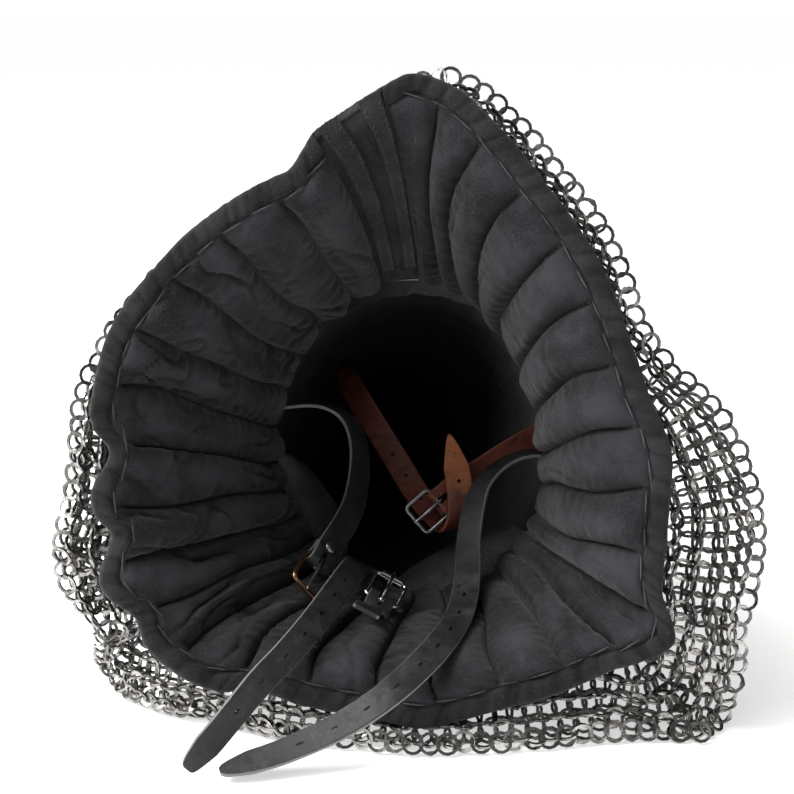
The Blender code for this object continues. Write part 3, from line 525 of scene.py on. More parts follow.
def quilted(angles, turns, rows):  # height of the quilting over its seams, and painted shade: how deep a place lies in a seam, fold or notch gather, and darker towards the neck
    p = padding
    t = turns % 1.0
    channel = np.floor(turns)
    edge = np.minimum(t, 1 - t) * p["channelWidth"]  # to the nearest seam
    ends = (1 - np.exp(-rows / 0.04)) * (1 - 0.5 * np.exp(-(1 - rows) / 0.05))
    full = 1 + 0.3 * ripple(channel * 3.7, rows * 2.6, 4.0)
    left = 0.5 - 0.5 * np.tanh((np.cos(np.radians(angles)) + 0.15) / 0.35)
    loose = (0.5 + 0.8 * left) * ends
    height = p["puff"] * np.sin(np.pi * t) ** 0.55 * ends * full
    seamDip = np.exp(-(edge / 1.4) ** 2)
    height -= p["groove"] * seamDip * ends
    run = rows * p["channelLength"]
    near = np.exp(-edge / 6.0) * (1 - np.exp(-edge / 1.0))
    seam = np.round(turns)
    wave = np.sin(2 * np.pi * run / 9.5 + seam * 2.4 + 3.0 * ripple(seam * 1.7, run * 0.05, 9.0))
    wave *= 0.55 + 0.8 * ripple(seam * 2.1 + 30, run * 0.04, 3.0)
    height += p["pucker"] * 1.5 * near * wave * ends
    height += p["folds"] * loose * ripple(angles * 0.14, rows * 1.7, 1.5)
    height += 1.1 * loose * ripple(turns * 1.7, rows * 7.0, 5.0)
    height += 0.3 * ends * ripple(turns * 6.0, rows * 24.0, 7.0)
    drift = turns + 0.5 * ripple(turns * 0.8, rows * 5.0, 21.0)
    longFold = crease(ripple(drift * 1.25, rows * 1.5, 11.0), 0.07)
    longFold *= np.clip(0.5 + ripple(turns * 0.5, rows * 3, 2.0), 0, 1)
    shortFold = crease(ripple(turns * 1.5 + rows * 4, rows * 6.5, 17.0), 0.06)
    shortFold *= np.clip(0.35 + 1.6 * ripple(turns * 0.6, rows * 4, 8.0), 0, 1)
    dips = (longFold * 0.9 + shortFold * 0.6) * loose
    height -= p["crease"] * dips
    gather = np.zeros_like(height)
    for middle, depth, half in p["notches"]:  # each notch draws a fold inwards
        off = (angles - middle + 180) % 360 - 180
        fold = np.exp(-(off / half) ** 2) * np.exp(-rows / 0.35) * ends
        height -= depth * 0.5 * fold
        gather += depth / 13 * np.exp(-(off / half * 2) ** 2) * np.exp(-rows / 0.3)
    # painted shade: seams, folds, notch gathers and the rows towards the neck darken the colour
    deep = (0.7 * seamDip + 0.55 * np.exp(-(edge / 8.0) ** 2) * ends + 0.7 * dips
            + 0.35 * gather + 0.95 * rows ** 1.9)
    return height, np.clip(deep, 0, 1)


def paddingPoints():
    p = padding
    count = p["channels"] * p["steps"] + 1
    angles, length = rimAngles(p["closure"][1] + p["slack"], p["closure"][0] + 360 - p["slack"], count)
    rows = np.linspace(0, 1, p["rows"] + 1)
    start = p["hemWidth"] + p["gap"]
    base = collar(angles, rows, start)
    normal = collarNormals(angles, rows, start)
    turns = np.arange(count) / p["steps"]
    everyTurn, everyRow = np.meshgrid(turns, rows)
    across = unit(collarFaces(angles, rows, start)[0])
    held = (np.clip(everyRow / 0.12, 0, 1) * np.clip((1 - everyRow) / 0.1, 0, 1)
            * np.clip(everyTurn / 0.8, 0, 1) * np.clip((turns[-1] - everyTurn) / 0.8, 0, 1))
    sway = p["wander"] * held * ripple(everyTurn * 0.75, everyRow * 2.6, 31.0)
    height, deep = quilted(angles[None] + 0 * everyRow, everyTurn, everyRow)
    return base + across * sway[..., None], normal, height, deep, angles, length


def buildPadding():
    p = padding
    base, normal, height, deep, angles, length = paddingPoints()
    bm = bmesh.new()
    span = (length * 0.001, 0.17)
    front = base - normal * height[..., None]
    back = base + normal * p["thickness"]
    tuck = (intoSkull - inwardAt(angles)) * p["tuck"]
    sheetWall(bm, np.concatenate([front[:1] + tuck, front]),
              np.concatenate([back[:1] + tuck * (1, 0, 1), back]), span)
    # painted shade: the tucked first row is fully dark, the rest as deep as its seams and folds
    markPaintedShade(bm, np.concatenate([np.ones_like(deep[:1]), deep]))
    piece = finishPiece("quiltedPadding", bm, "padding", ["padding"], sharp=75)

    # Machine stitches along every seam
    seams = np.arange(1, p["channels"]) * p["steps"]
    rowsAt = np.linspace(*p["seamRows"]) * p["rows"]
    low = np.floor(rowsAt).astype(int)
    part = (rowsAt - low)[:, None, None]
    surface = base - normal * (height + 0.15)[..., None]
    spots = surface[low][:, seams] * (1 - part) + surface[low + 1][:, seams] * part
    runs = surface[low + 1][:, seams] - surface[low][:, seams]
    share, *thick = p["stitch"]
    long = np.linalg.norm(np.gradient(spots, axis=0), axis=-1) * share
    sew("seamStitches", "black_padding", spots, runs, -normal[low][:, seams], long.reshape(-1), *thick)
    print("padding and its seams made")


hem = {"sides": 20, "steps": 1100, "flat": 0.62, "pucker": 0.13, "tug": 0.16, "frontFlat": 0.82,
       "handPitch": 19.0, "handLength": 13.5, "handStitch": (0.9, 1.3), "handWander": 1.4, "pull": 2.6}


def buildHem():
    p = padding
    angles, length = rimAngles(p["closure"][1] + p["slack"], p["closure"][0] + 360 - p["slack"],
                               hem["steps"] + 1)
    line = rimLine(angles)
    inward = inwardAt(angles)
    run = np.linspace(0, length, len(angles))
    turn = np.arange(hem["sides"]) * 2 * math.pi / hem["sides"]
    pitch = hem["handPitch"]
    pull = np.exp(-(((run / pitch) % 1 - 0.5) * pitch / hem["pull"]) ** 2)  # each stitch draws the roll in
    pull *= 0.5 + 0.9 * ripple(np.floor(run / pitch) * 1.3, 4.0)
    rings, deep = [], []
    for t in turn:
        c, s = math.cos(t), math.sin(t)
        front = np.clip(-s, 0, 1) ** 0.5
        inner = np.clip(-c, 0, 1)
        tug = crease(ripple(run * 0.075 + t * 0.25, 3.0, 14.0), 0.07) * front
        swell = (1 + 0.09 * ripple(run * 0.05, t * 0.8 + run * 0.01, 2.0)
                 + 0.05 * ripple(run * 0.21, t * 1.6, 6.0)
                 - hem["pucker"] * pull * front - hem["tug"] * tug)
        wide = p["hemWidth"] / 2 * np.sign(c) * abs(c) ** hem["flat"] * swell
        thick = p["hemDepth"] / 2 * np.sign(s) * abs(s) ** hem["flat"] * swell
        into = p["hemMiddle"] + thick * (hem["frontFlat"] if s < 0 else 1)
        rings.append(line + inward * (p["hemWidth"] / 2 - wide)[:, None] + intoSkull * into[:, None])
        # painted shade: the roll goes darker in its creases, where the stitches pull it in, and on its
        # inner side
        deep.append(np.clip(0.5 * tug + 0.45 * pull * front + 0.9 * inner ** 6, 0, 1))
    bm = bmesh.new()
    tube(bm, np.stack(rings, 1), marks=np.stack(deep, 1))
    piece = finishPiece("rolledHem", bm, "hem", ["padding_hem"], sharp=75)

    # Long running stitches by hand, where the hem meets the quilting
    at = (np.arange(int(length / pitch)) + 0.5) * pitch
    middle = np.interp(at, run, angles)
    wander = hem["handWander"] * ripple(at * 0.3, 0.0, 3.0)
    inAt = inwardAt(middle)
    spots = rimLine(middle) + inAt * (p["hemWidth"] + 1.2 + wander)[:, None] - intoSkull * 0.9
    ahead = np.gradient(rimLine(middle), axis=0)
    ahead = unit(ahead) + inAt * (0.3 * ripple(at * 0.7, 5.0))[:, None]
    size = hem["handLength"] * (1 + 0.4 * ripple(at * 0.9, 8.0))
    sew("handStitches", "black_hem", spots, ahead, -intoSkull, size, *hem["handStitch"])
    print("hem made")


# The closure at the top left, flat and thin with a raw, oversewn edge
closure = {"thickness": 5.0, "columns": 40, "rows": 70, "crumple": 1.7, "tapes": (101.4, 92.8),
           "tapeWidth": 11.0, "tapeRadius": 150.0, "tapeThickness": 1.6,
           "tapeRows": (0.04, 0.8, 60), "tapeStitch": (3.0, 0.75, 0.7), "tapeLift": 0.6, "tapeBow": 0.35,
           "neckSwell": 4.5, "zigzag": 1.1, "overSewn": 38, "overStitch": (5.2, 1.0, 0.9), "fray": 0.5}


def closureHeight(angles, rows):
    ends = (1 - np.exp(-rows / 0.06)) * (1 - np.exp(-(1 - rows) / 0.05))
    return closure["crumple"] * ends * (ripple(angles * 0.3, rows * 7, 3.0)
                                        + 0.5 * ripple(angles * 0.7, rows * 17, 8.0))


def buildClosure():
    p = padding
    angles, width = rimAngles(p["closure"][0] + p["slack"], p["closure"][1] - p["slack"],
                              closure["columns"] + 1)
    rows = np.linspace(0, 1, closure["rows"] + 1)
    start = p["hemWidth"] + p["gap"]
    base = collar(angles, rows, start)
    normal = collarNormals(angles, rows, start)
    height = closureHeight(angles[None], rows[:, None])
    front = base - normal * height[..., None]
    stout = closure["thickness"] + closure["neckSwell"] * np.clip((rows - 0.75) / 0.25, 0, 1) ** 2
    back = base + normal * stout[:, None, None]
    share = np.linspace(0, 1, 6)[:-1, None, None]  # on to the rim
    fray = closure["fray"] * ripple(angles * 3, 2.0)
    edge = rimLine(angles) + inwardAt(angles) * fray[:, None]
    front = np.concatenate([(edge[None] + intoSkull) * (1 - share) + front[:1] * share, front])
    back = np.concatenate([(edge[None] + intoSkull * (1 + closure["thickness"])) * (1 - share)
                           + back[:1] * share, back])
    bm = bmesh.new()
    sheetWall(bm, front, back, (width * 0.001, 0.17))
    piece = finishPiece("closureCloth", bm, "closure", ["closure_panel"], sharp=75)

    # Two flat tapes with a row of stitches down each side
    s = np.linspace(*closure["tapeRows"])
    for name, node, middle in (("closureTapeLeft", "closure_tape_left", closure["tapes"][0]),
                               ("closureTapeRight", "closure_tape_right", closure["tapes"][1])):
        half = math.degrees(closure["tapeWidth"] / 2 / closure["tapeRadius"])
        across = middle + np.linspace(1, -1, 9) * half
        base = collar(across, s, start)
        normal = collarNormals(across, s, start)
        lift = closure["tapeLift"] + closureHeight(across[None], s[:, None]).clip(0)
        bow = closure["tapeBow"] * np.cos(np.linspace(-1, 1, 9) * math.pi / 2)
        share = np.array([0.1, 0.35, 0.6, 0.85])[:, None, None]  # the tape starts at the rim
        lead = (rimLine(across) + intoSkull) * (1 - share) + collar(across, [0.0], start) * share
        base = np.concatenate([lead, base])
        normal = np.concatenate([np.tile(intoSkull, (4, 9, 1)), normal])
        lift = np.concatenate([np.full((4, 9), closure["tapeLift"]), lift])
        top = base - normal * (lift + closure["tapeThickness"] * 0.75 + bow)[..., None]
        bm = bmesh.new()
        sheetWall(bm, top, base - normal * lift[..., None], (0.011, 0.14))
        piece = finishPiece(name, bm, "tape", [node], sharp=60)
        wide = np.linalg.norm(top[:, -1] - top[:, 0], axis=1)
        seams, ups = top[2:, [1, 7]], -normal[2:, [1, 7]]
        side = unit(seams[:, 1] - seams[:, 0])[:, None]
        seams = seams + ups * 0.15
        way = np.where(np.arange(len(seams)) % 2, 1.0, -1.0)[:, None, None] * closure["zigzag"]
        runs = unit(np.gradient(seams, axis=0)) + side * way
        sew(name + "Stitches", "black_tape", seams, runs, ups, *closure["tapeStitch"])

    # Oversewing over the raw edge
    at, _ = rimAngles(p["closure"][0] + 0.6, p["closure"][1] - 0.6, closure["overSewn"])
    inAt = inwardAt(at)
    lean = unit(np.gradient(rimLine(at), axis=0)) * 0.45 + inAt - intoSkull * 0.12
    sew("edgeStitches", "black_closure_cloth", rimLine(at) + inAt * 2.2 + intoSkull * 0.3, lean,
        -intoSkull, *closure["overStitch"])
    print("closure made")


# The skull's sections carry the skull, the liner, the band and the top of the mail
skull = {
    "sections": ((133.3, 22, -22, 99, 109), (160, 22, -23, 100.5, 110), (190, 22, -24.5, 100.5, 110),
                 (222, 22, -25.5, 98.5, 108.5), (255, 22, -26, 93, 103.5), (288, 22, -29.6, 83, 93.7),
                 (318, 22, -36.2, 69, 79.3), (345, 22, -46.7, 51, 60.7), (368, 22, -59, 30, 39),
                 (380, 22, -68, 14, 20), (386.5, 22, -73.6, 4, 6)),
    "rim": 133.3, "middle": 22.0, "wall": 2.0, "linerWall": 9.0, "gap": 0.3,
    "ends": (386.5, 384.0, 378.0, 371.0),  # depths of the skull and the liner, outside and inside
    "faceWidth": 124.0, "faceTop": 232.0, "steps": 96, "rows": 80, "ridge": 1.6,
    "linerCells": 14, "linerQuilting": 1.6, "linerWrinkles": 0.7,
}


def skullRing(depth, grow, turn):  # a section moved outwards by grow
    depths = [row[0] for row in skull["sections"]]
    x, z, wide, high = [smooth(depths, [row[k] for row in skull["sections"]], np.asarray(depth, float))
                        for k in range(1, 5)]
    wide = np.maximum(wide + grow, 0.2)
    high = np.maximum(high + grow, 0.2)
    shape = np.broadcast_shapes(np.shape(depth), np.shape(turn))
    return np.stack([x + wide * np.cos(turn), np.broadcast_to(depth, shape) + 0 * turn,
                     z + high * np.sin(turn)], -1)


def faceCutter():
    half = skull["faceWidth"] / 2
    arc = [(half * math.cos(t), skull["faceTop"] - half + half * math.sin(t))
           for t in np.linspace(0, math.pi, 41)]
    outline = [(half, 100)] + arc + [(-half, 100)]  # from well before the skull's rim
    bm = bmesh.new()
    verts = [bm.verts.new(place((skull["middle"] + x, y, 0.0))) for x, y in outline]
    face = bm.faces.new(verts)
    up = turnOnly((0.0, 0.0, 150.0)) * 0.001
    raised = bmesh.ops.extrude_face_region(bm, geom=[face])["geom"]
    bmesh.ops.translate(bm, vec=up, verts=[g for g in raised if isinstance(g, bmesh.types.BMVert)])
    return closedMesh(bm, "faceCutter")


def cutWith(piece, mesh):  # takes a shape out of a piece and keeps the result as its mesh
    cutter = addThing("cutter", mesh)
    cut = piece.modifiers.new("cut", "BOOLEAN")
    cut.object = cutter
    cut.operation = "DIFFERENCE"
    cut.solver = "EXACT"
    cut.use_self = True
    bpy.context.view_layer.update()
    made = bpy.data.meshes.new_from_object(piece.evaluated_get(bpy.context.evaluated_depsgraph_get()))
    piece.modifiers.clear()
    old = piece.data
    piece.data = made
    bpy.data.meshes.remove(old)
    bpy.data.objects.remove(cutter)
    bpy.data.meshes.remove(mesh)


def domeDepths(last):  # closer together towards the skull's end
    return skull["rim"] + (last - skull["rim"]) * np.sin(np.linspace(0, math.pi / 2, skull["rows"] + 1))


def shell(name, outer, inner, finish, node):
    bm = bmesh.new()
    layGrid(bm, place(np.concatenate([inner[::-1], outer])), (0.6, 0.25))
    bmesh.ops.remove_doubles(bm, verts=bm.verts[:], dist=1e-6)
    bmesh.ops.holes_fill(bm, edges=[e for e in bm.edges if e.is_boundary], sides=0)
    piece = finishPiece(name, bm, finish, [node], sharp=50)
    cutWith(piece, faceCutter())
    piece.data.set_sharp_from_angle(angle=math.radians(50))
    return piece


def buildSkull():
    k = skull
    turn = np.linspace(0, 2 * math.pi, k["steps"] + 1)
    skullOut, skullIn, linerOut, linerIn = [domeDepths(end)[:, None] for end in k["ends"]]
    ridge = k["ridge"] * np.exp(-((np.abs(turn - math.pi / 2)) / 0.09) ** 2)  # a soft keel over the brow
    rise = np.clip((skullOut - 150) / 60, 0, 1) * ridge[None] * 0.5
    outer = skullRing(skullOut, rise - 0.15, turn[None])
    inner = skullRing(skullIn, -k["wall"], turn[None])
    shell("steelSkull", outer, inner, "skull", "skull")

    cells = np.sin(turn * k["linerCells"]) ** 2
    lift = k["linerQuilting"] * (cells ** 0.4 - 0.5)[None] * np.clip((k["ends"][2] - linerOut) / 60, 0, 1)
    lift = lift + k["linerWrinkles"] * ripple(np.cos(turn)[None] * 3, np.sin(turn)[None] * 3,
                                              linerOut * 0.03)
    outer = skullRing(linerOut, -k["wall"] - k["gap"] - 0.2, turn[None])
    inner = skullRing(linerIn, -k["wall"] - k["gap"] - k["linerWall"] - lift, turn[None])
    piece = shell("paddedLiner", outer, inner, "liner", "liner")
    print("skull and liner made")


pads = {
    "list": (("cheekPad", "cheek_pad_left", 186, 238, 137.5, 226, 23),
             ("napePad", "nape_pad", 262, 322, 137.5, 232, 23)),
    "edge": 2.0, "roundness": 0.5, "columns": 44, "rows": 44, "lumps": 1.1, "wrinkles": 0.5,
}


def buildPads():
    u = np.linspace(0, 1, pads["columns"] + 1)[None]
    v = np.linspace(0, 1, pads["rows"] + 1)[:, None]
    dome = (np.sin(math.pi * u) * np.sin(math.pi * v)).clip(0) ** pads["roundness"]
    inset = skull["wall"] + skull["linerWall"] + 2 * skull["gap"] + 0.6
    for name, node, first, last, nearDepth, farDepth, thickness in pads["list"]:
        angles = np.radians(first + (last - first) * u)
        swell = (pads["edge"] + thickness * dome + pads["lumps"] * dome * ripple(u * 5, v * 5, first * 0.1)
                 + pads["wrinkles"] * np.clip(dome * 3, 0, 1) * ripple(u * 13, v * 4, 2.0))
        depth = nearDepth + (farDepth - nearDepth) * v
        lip = np.sin(u * 26) * np.exp(-v / 0.06)  # wavy sewn edge
        back = skullRing(depth, -inset, angles)
        front = skullRing(depth + lip, -inset - swell, angles)
        bm = bmesh.new()
        sheetWall(bm, front, back, (0.1, 0.09))
        piece = finishPiece(name, bm, "pads", [node], sharp=75)
    print("pads made")


band = {"depths": (123.0, 128.0, 133.3, 146.0, 160.0, 166.0), "wall": 3.0, "rivets": 28,
        "rivetDepth": 160.0, "rivetRadius": 2.8, "gap": 0.3}


def buildBand():
    turn = np.linspace(0, 2 * math.pi, 129)
    depths = np.array(band["depths"])
    bm = bmesh.new()
    hoopWall(bm, skullRing(depths[:, None], band["gap"], turn[None]),
             skullRing(depths[:, None], band["gap"] + band["wall"], turn[None]), (0.65, 0.08))
    piece = finishPiece("mailBand", bm, "band", ["aventail_band"], sharp=50)
    edge = piece.modifiers.new("worn edges", "BEVEL")
    edge.width = 0.0006
    edge.segments = 2
    edge.limit_method = "ANGLE"
    edge.angle_limit = math.radians(50)

    bm = bmesh.new()  # a domed rivet head
    bmesh.ops.create_uvsphere(bm, u_segments=14, v_segments=8, radius=band["rivetRadius"] * 0.001)
    bmesh.ops.bisect_plane(bm, geom=bm.verts[:] + bm.edges[:] + bm.faces[:], plane_co=(0, 0, 0.0008),
                           plane_no=(0, 0, 1), clear_inner=True)
    bmesh.ops.holes_fill(bm, edges=[e for e in bm.edges if e.is_boundary], sides=0)
    bmesh.ops.translate(bm, vec=(0, 0, -0.0008), verts=bm.verts[:])
    head = closedMesh(bm, "rivetHead")
    at = (np.arange(band["rivets"]) + 0.5) * 2 * math.pi / band["rivets"]
    depth = np.full(len(at), band["rivetDepth"])
    spots = skullRing(depth, band["gap"] + band["wall"], at)
    outwards = unit(skullRing(depth, 6.0, at) - spots)
    ahead = unit(np.cross(outwards, intoSkull))
    turns = np.stack([ahead, np.cross(outwards, ahead), outwards], -1)
    turned = np.stack([turnOnly(turns[..., k]) for k in range(3)], -1)
    repeatShape("bandRivets", head, turned, place(spots), "wire", sharp=50)
    print("band made")


# Mail of small riveted rings that lean through their neighbours
mail = {
    "hem": ((-166, 176, 20), (-157, 194, 18), (-150, 202, 28), (-142, 202, 48), (-132, 215, None),
            (-126, 210, None), (-119, 200, None), (-106, 194, None), (-95, 191, None), (-82, 195, None),
            (-70, 204, None), (-58, 221, None), (-50, 241, None), (-45, 257, None), (-39, 249, 12),
            (-32, 234, 8), (-20, 222, 8), (-10, 204, 6), (0, 182, 6), (7, 161, 8), (19, 150, 8),
            (36, 155, 10), (52, 161, 10), (65, 173, 10), (78, 184, 10), (88, 170, 18), (104, 147, 23),
            (129, 133, 25), (150, 142, 22), (168, 156, 14), (180, 167, 12)),
    "wall": 3.0, "leaves": 0.84, "clear": (1.2, 5.0), "press": 0.6, "flare": 1.5,
    "bandRows": ((122.0, 1.2), (134.0, 0.3), (146.0, 0.0), (158.0, 0.0)),
    "ringRadius": 5.4, "ringWire": (0.85, 0.62), "rivet": 1.5, "lean": 34.0, "stray": 0.3,
    "rows": 30, "pitch": 9.3, "shift": 1.0, "fold": (168, 216), "foldRows": 9, "foldDepth": 9.0,
    "tuck": 11.0, "pieces": 3, "columns": 721, "ringSides": 13,
}


def mailSurface(angles):  # the middle of the mail from its hem to the band, a fine grid
    m = mail
    rows = np.linspace(0, m["leaves"], 29)
    start = padding["hemWidth"]
    lead = np.clip(1 - rows / 0.12, 0, 1)[:, None, None]
    outside = unit(collarFaces(angles, rows, start)[1] * (1 - lead) + intoSkull * lead)
    clear = padding["thickness"] + m["clear"][0] + m["wall"] / 2 + rows[:, None, None] ** 2 * m["clear"][1]
    base = collar(angles, rows, start) + outside * clear
    turn = np.radians(angles)
    seen = around(m["hem"], 1, angles)
    lift = m["wall"] / 2
    rise = seen * np.sin(turn) * tiltCos
    floorDepth = (lift - placing["rimHeight"] - rise) / (rise / placing["viewReach"] - tiltSin)
    lying = [(a, r, 1.0 if d is None else 0.0, 0.0 if d is None else d) for a, r, d in m["hem"]]
    weight = around(lying, 2, angles)
    depth = around(lying, 3, angles) + floorDepth * weight
    scale = seen * (1 + depth / placing["viewReach"])
    edge = np.stack([scale * np.cos(turn), depth, scale * np.sin(turn)], -1)
    flare = (edge - base[0])[None] * (1 - rows[:, None, None] / rows[-1]) ** m["flare"]
    skirt = base + flare
    press = np.clip(1 - rows / (rows[-1] / 7), 0, 1)[:, None] ** 0.5 * weight[None]
    drop = (aboveFloor(skirt) - lift + m["press"]) * np.clip(press, 0, 1)
    skirt = skirt - drop[..., None] * offGround
    top = [skullRing(np.full(len(angles), d), 3 + 0.75 + lift + more, turn) for d, more in m["bandRows"]]
    return np.concatenate([skirt, np.stack(top)])


def ringShape():
    m = mail
    turn = np.arange(m["ringSides"]) * 2 * math.pi / m["ringSides"]
    wide, high = m["ringWire"]
    thick = np.ones(m["ringSides"])
    thick[0] = m["rivet"]  # the riveted overlap
    section = np.array([(-1, -1), (1, -1), (1, 1), (-1, 1)]) * np.array([wide, high])
    out = m["ringRadius"] + section[:, 0] * thick[:, None]
    rings = np.stack([out * np.cos(turn)[:, None], out * np.sin(turn)[:, None],
                      section[:, 1] * thick[:, None]], -1)
    bm = bmesh.new()
    layGrid(bm, np.pad(rings, ((0, 1), (0, 1), (0, 0)), "wrap") * 0.001)
    bmesh.ops.remove_doubles(bm, verts=bm.verts[:], dist=1e-6)
    return closedMesh(bm, "ring")


def ringRow(here, above, row, count, edge):  # where a row's rings lie and how they lean
    m = mail
    run = runAlong(here)
    number = np.arange(count)
    at = (number + 0.5 * (row % 2)) / count * run[-1]
    point = readOff(at, run, here)
    ahead = unit(readOff(at + 2, run, here, period=run[-1]) - readOff(at - 2, run, here, period=run[-1]))
    up = squareTo(readOff(at, run, above) - point, ahead)
    normal = np.cross(ahead, up)
    stray, shift = m["stray"] * (1 + edge), m["shift"] * (1 + edge)
    lean = math.radians(m["lean"]) * (1 if row % 2 else -1) + stray * ripple(number * 0.83, row * 1.7, 1.0)
    roll = stray * ripple(number * 0.71, row * 2.3, 5.0)
    spin = 2 * math.pi * ripple(number * 1.37, row * 3.1, 9.0)
    axis = normal * np.cos(lean)[:, None] + up * np.sin(lean)[:, None]
    axis = unit(axis + ahead * roll[:, None])
    first = squareTo(ahead, axis)
    second = np.cross(axis, first)
    point = (point + ahead * (shift * ripple(number * 0.9, row * 1.3, 12.0))[:, None]
             + up * (shift * ripple(number * 0.8, row * 1.1, 15.0))[:, None])
    c, s = np.cos(spin)[:, None], np.sin(spin)[:, None]
    turns = np.stack([first * c + second * s, second * c - first * s, axis], 1)
    return place(point), turnOnly(turns).transpose(0, 2, 1)


def offFloor(spots, turns):  # nothing reaches under the floor
    m = mail
    lying = np.sqrt(np.clip(1 - turns[:, 2, 2] ** 2, 0, 1))
    wide, high = m["ringWire"]
    low = 0.001 * ((m["ringRadius"] + wide * m["rivet"]) * lying + high * m["rivet"])
    spots[:, 2] = np.maximum(spots[:, 2], low + 0.0001)
    return spots


def buildMail():
    m = mail
    angles = np.linspace(-170, 190, m["columns"])
    surface = mailSurface(angles)
    length = np.pad(np.cumsum(np.linalg.norm(np.diff(surface, axis=0), axis=-1), 0), ((1, 0), (0, 0)))

    def level(far):  # a line round the mail, at its own distance from the hem at each angle
        return np.stack([readOff(far[i], length[:, i], surface[:, i]) for i in range(len(angles))])

    rows = []
    count = 0
    reach = m["ringRadius"] + m["ringWire"][0]
    tuck = m["tuck"] * np.exp(-((angles - 114) / 11) ** 2)  # behind the closure no ring shows
    for row in range(m["rows"]):
        far = reach + tuck + row / (m["rows"] - 1) * (length[-1] - 2 * reach - tuck)
        here, above = level(far), level(far + 3)
        wanted = np.linalg.norm(np.diff(here, axis=0), axis=1).sum() / m["pitch"]
        if count == 0 or wanted < count * 0.84:
            count = int(round(wanted))
        rows.append(ringRow(here, above, row, count, np.exp(-row / 2.5)))  # the free edge is less regular
    # On the left the mail lies folded on itself, in a second layer behind the first
    first, last = m["fold"]
    past = (angles - first) % 360
    part = np.argsort(past, kind="stable")[:int(np.sum(past < last - first))]
    for row in range(m["foldRows"]):
        far = reach + (row + 0.4) / (m["rows"] - 1) * (length[-1] - 2 * reach)
        lines = [level(far + more)[part] + intoSkull * m["foldDepth"] for more in (0, 3)]
        wanted = np.linalg.norm(np.diff(lines[0], axis=0), axis=1).sum() / m["pitch"]
        rows.append(ringRow(*lines, row + 41, int(wanted), 1.2))
    spots, turns = [np.concatenate(share) for share in zip(*rows)]
    spots = offFloor(spots, turns)
    shape = ringShape()
    ends = np.linspace(0, len(spots), m["pieces"] + 1).astype(int)
    for i in range(m["pieces"]):
        part = slice(ends[i], ends[i + 1])
        repeatShape(f"mailRings{i + 1}", shape, turns[part], spots[part], "mail",
                    ["mail_curtain"] if i == 0 else (), sharp=60)
    print("mail made of", len(spots), "rings")


# Straps and buckles
straps = {
    "fineness": 8, "width": 16.0, "thickness": 2.4, "wire": 1.5, "prongWire": 1.1, "tip": 5.0,
    "loopGap": 0.7, "sideGap": 0.9, "corner": 3.0, "lead": (13, 7, 2), "eye": (-30, -270), "over": 2.2,
    "pinRise": ((0.35, 0.9), (0.7, 0.1), (0.95, 0.0)), "gap": 0.3, "holeSize": (4.6, 1.7),
    "slotSize": (9.0, 2.2), "floor": 1.0, "rivetRadius": 3.6, "rivetHeight": 1.4, "rivetBack": 12.5,
    "rollerLength": 13.0, "rollerWall": 0.8,
    "chinLeft": ((-64, 150, -5, 0, 1, 0), (-40, 150, -3, .1, .98, .1), (-23, 149, -10, .4, .9, .1),
                 (-15, 144, -25, .6, .8, .05), (-14, 134, -46, .7, .7, 0), (-19, 116, -68, .74, .6, -.3)),
    "chinBar": ((-37.2, 75, -95), (-44, 56, -107.5), (.66, .35, -.66)),
    "chinRight": ((107.1, 144, -35, 0, 1, .1), (91, 141, -33, -.1, .97, .2), (74, 134, -39, -.4, .9, .1),
                  (61, 124, -51, -.6, .8, 0), (55, 114, -66, -.75, .65, 0), (51.5, 101, -85, -.8, .6, 0),
                  (50, 82, -102, -.8, .6, .05), (46, 56, -117, -.8, .55, .15), (38, 29, -128, -.7, .5, .4),
                  (23, 0, -141, -.6, .5, .6), (3, -19, -156, -.5, .55, .65),
                  (-21, -25, -171, -.4, .6, .65), (-49, -30, -183, -.3, .7, .6),
                  (-69, -34, -189, -.3, .75, .5), (-84, -38, -193, -.3, .8, .4)),
    "lower": ((-9, 156, -109.4, .9, 0, -.3), (-10, 141, -107, .9, .05, -.3),
              (-11.5, 124, -100.3, .85, 0, -.4), (-14.5, 99, -98.3, .8, 0, -.6),
              (-19, 70, -100.8, .7, 0, -.7), (-28, 40, -111, .7, .05, -.7), (-40, 14, -125, .7, .1, -.7),
              (-52, -5, -137.5, .65, .2, -.65), (-65, -17, -150, .65, .3, -.6),
              (-77.5, -24, -164.5, .6, .4, -.55), (-88, -28, -177, .6, .4, -.5),
              (-97, -31, -187, .6, .35, -.5), (-102, -32, -193, .7, .2, -.4)),
    "chromeBar": ((-1, 66, -115.5), (5.5, 82, -105), (.9, .1, -.35)),
    "tab": ((-9, 34, -118, .9, .2, -.4), (-7, 45, -117, .9, .15, -.4)),
    "brownLeft": ((-28.7, 284.9, 22.8, .84, 0, .5), (-21.5, 261, 10, .84, .1, .54),
                  (-6.6, 228, -14, .84, .1, .54), (10, 194, -40, .84, .15, .5), (22, 172, -59, .8, .3, .45),
                  (33, 162, -73, .75, .45, .3), (42, 152, -80.5, .8, .5, .1), (48, 143.5, -73, .95, .3, 0),
                  (48, 139, -55, 1, 0, .05), (45, 135, -38, 1, 0, .05), (41, 131, -21, 1, 0, .05)),
    "brownRight": ((106.8, 160, -18, .4, 0, .9), (86, 157, -29, .45, 0, .9), (64, 153, -42, .5, 0, .85)),
    "brownBar": ((35, 147, -63), (21, 143, -75), (.6, .2, .75)),
    # half the section, from one cut edge to the middle of the face: width, height, how far an edge
    "section": ((1.0, 0.35, 1.0), (0.985, 0.8, 0.9), (0.93, 0.97, 0.7), (0.8, 1.0, 0.2)),
}


def barAxes(bar):
    near, far, across = (np.array(v, float) for v in bar)
    forward = far - near
    long = np.linalg.norm(forward)
    forward = forward / long
    across = squareTo(across, forward)
    return near, forward, long, across, np.cross(forward, across)


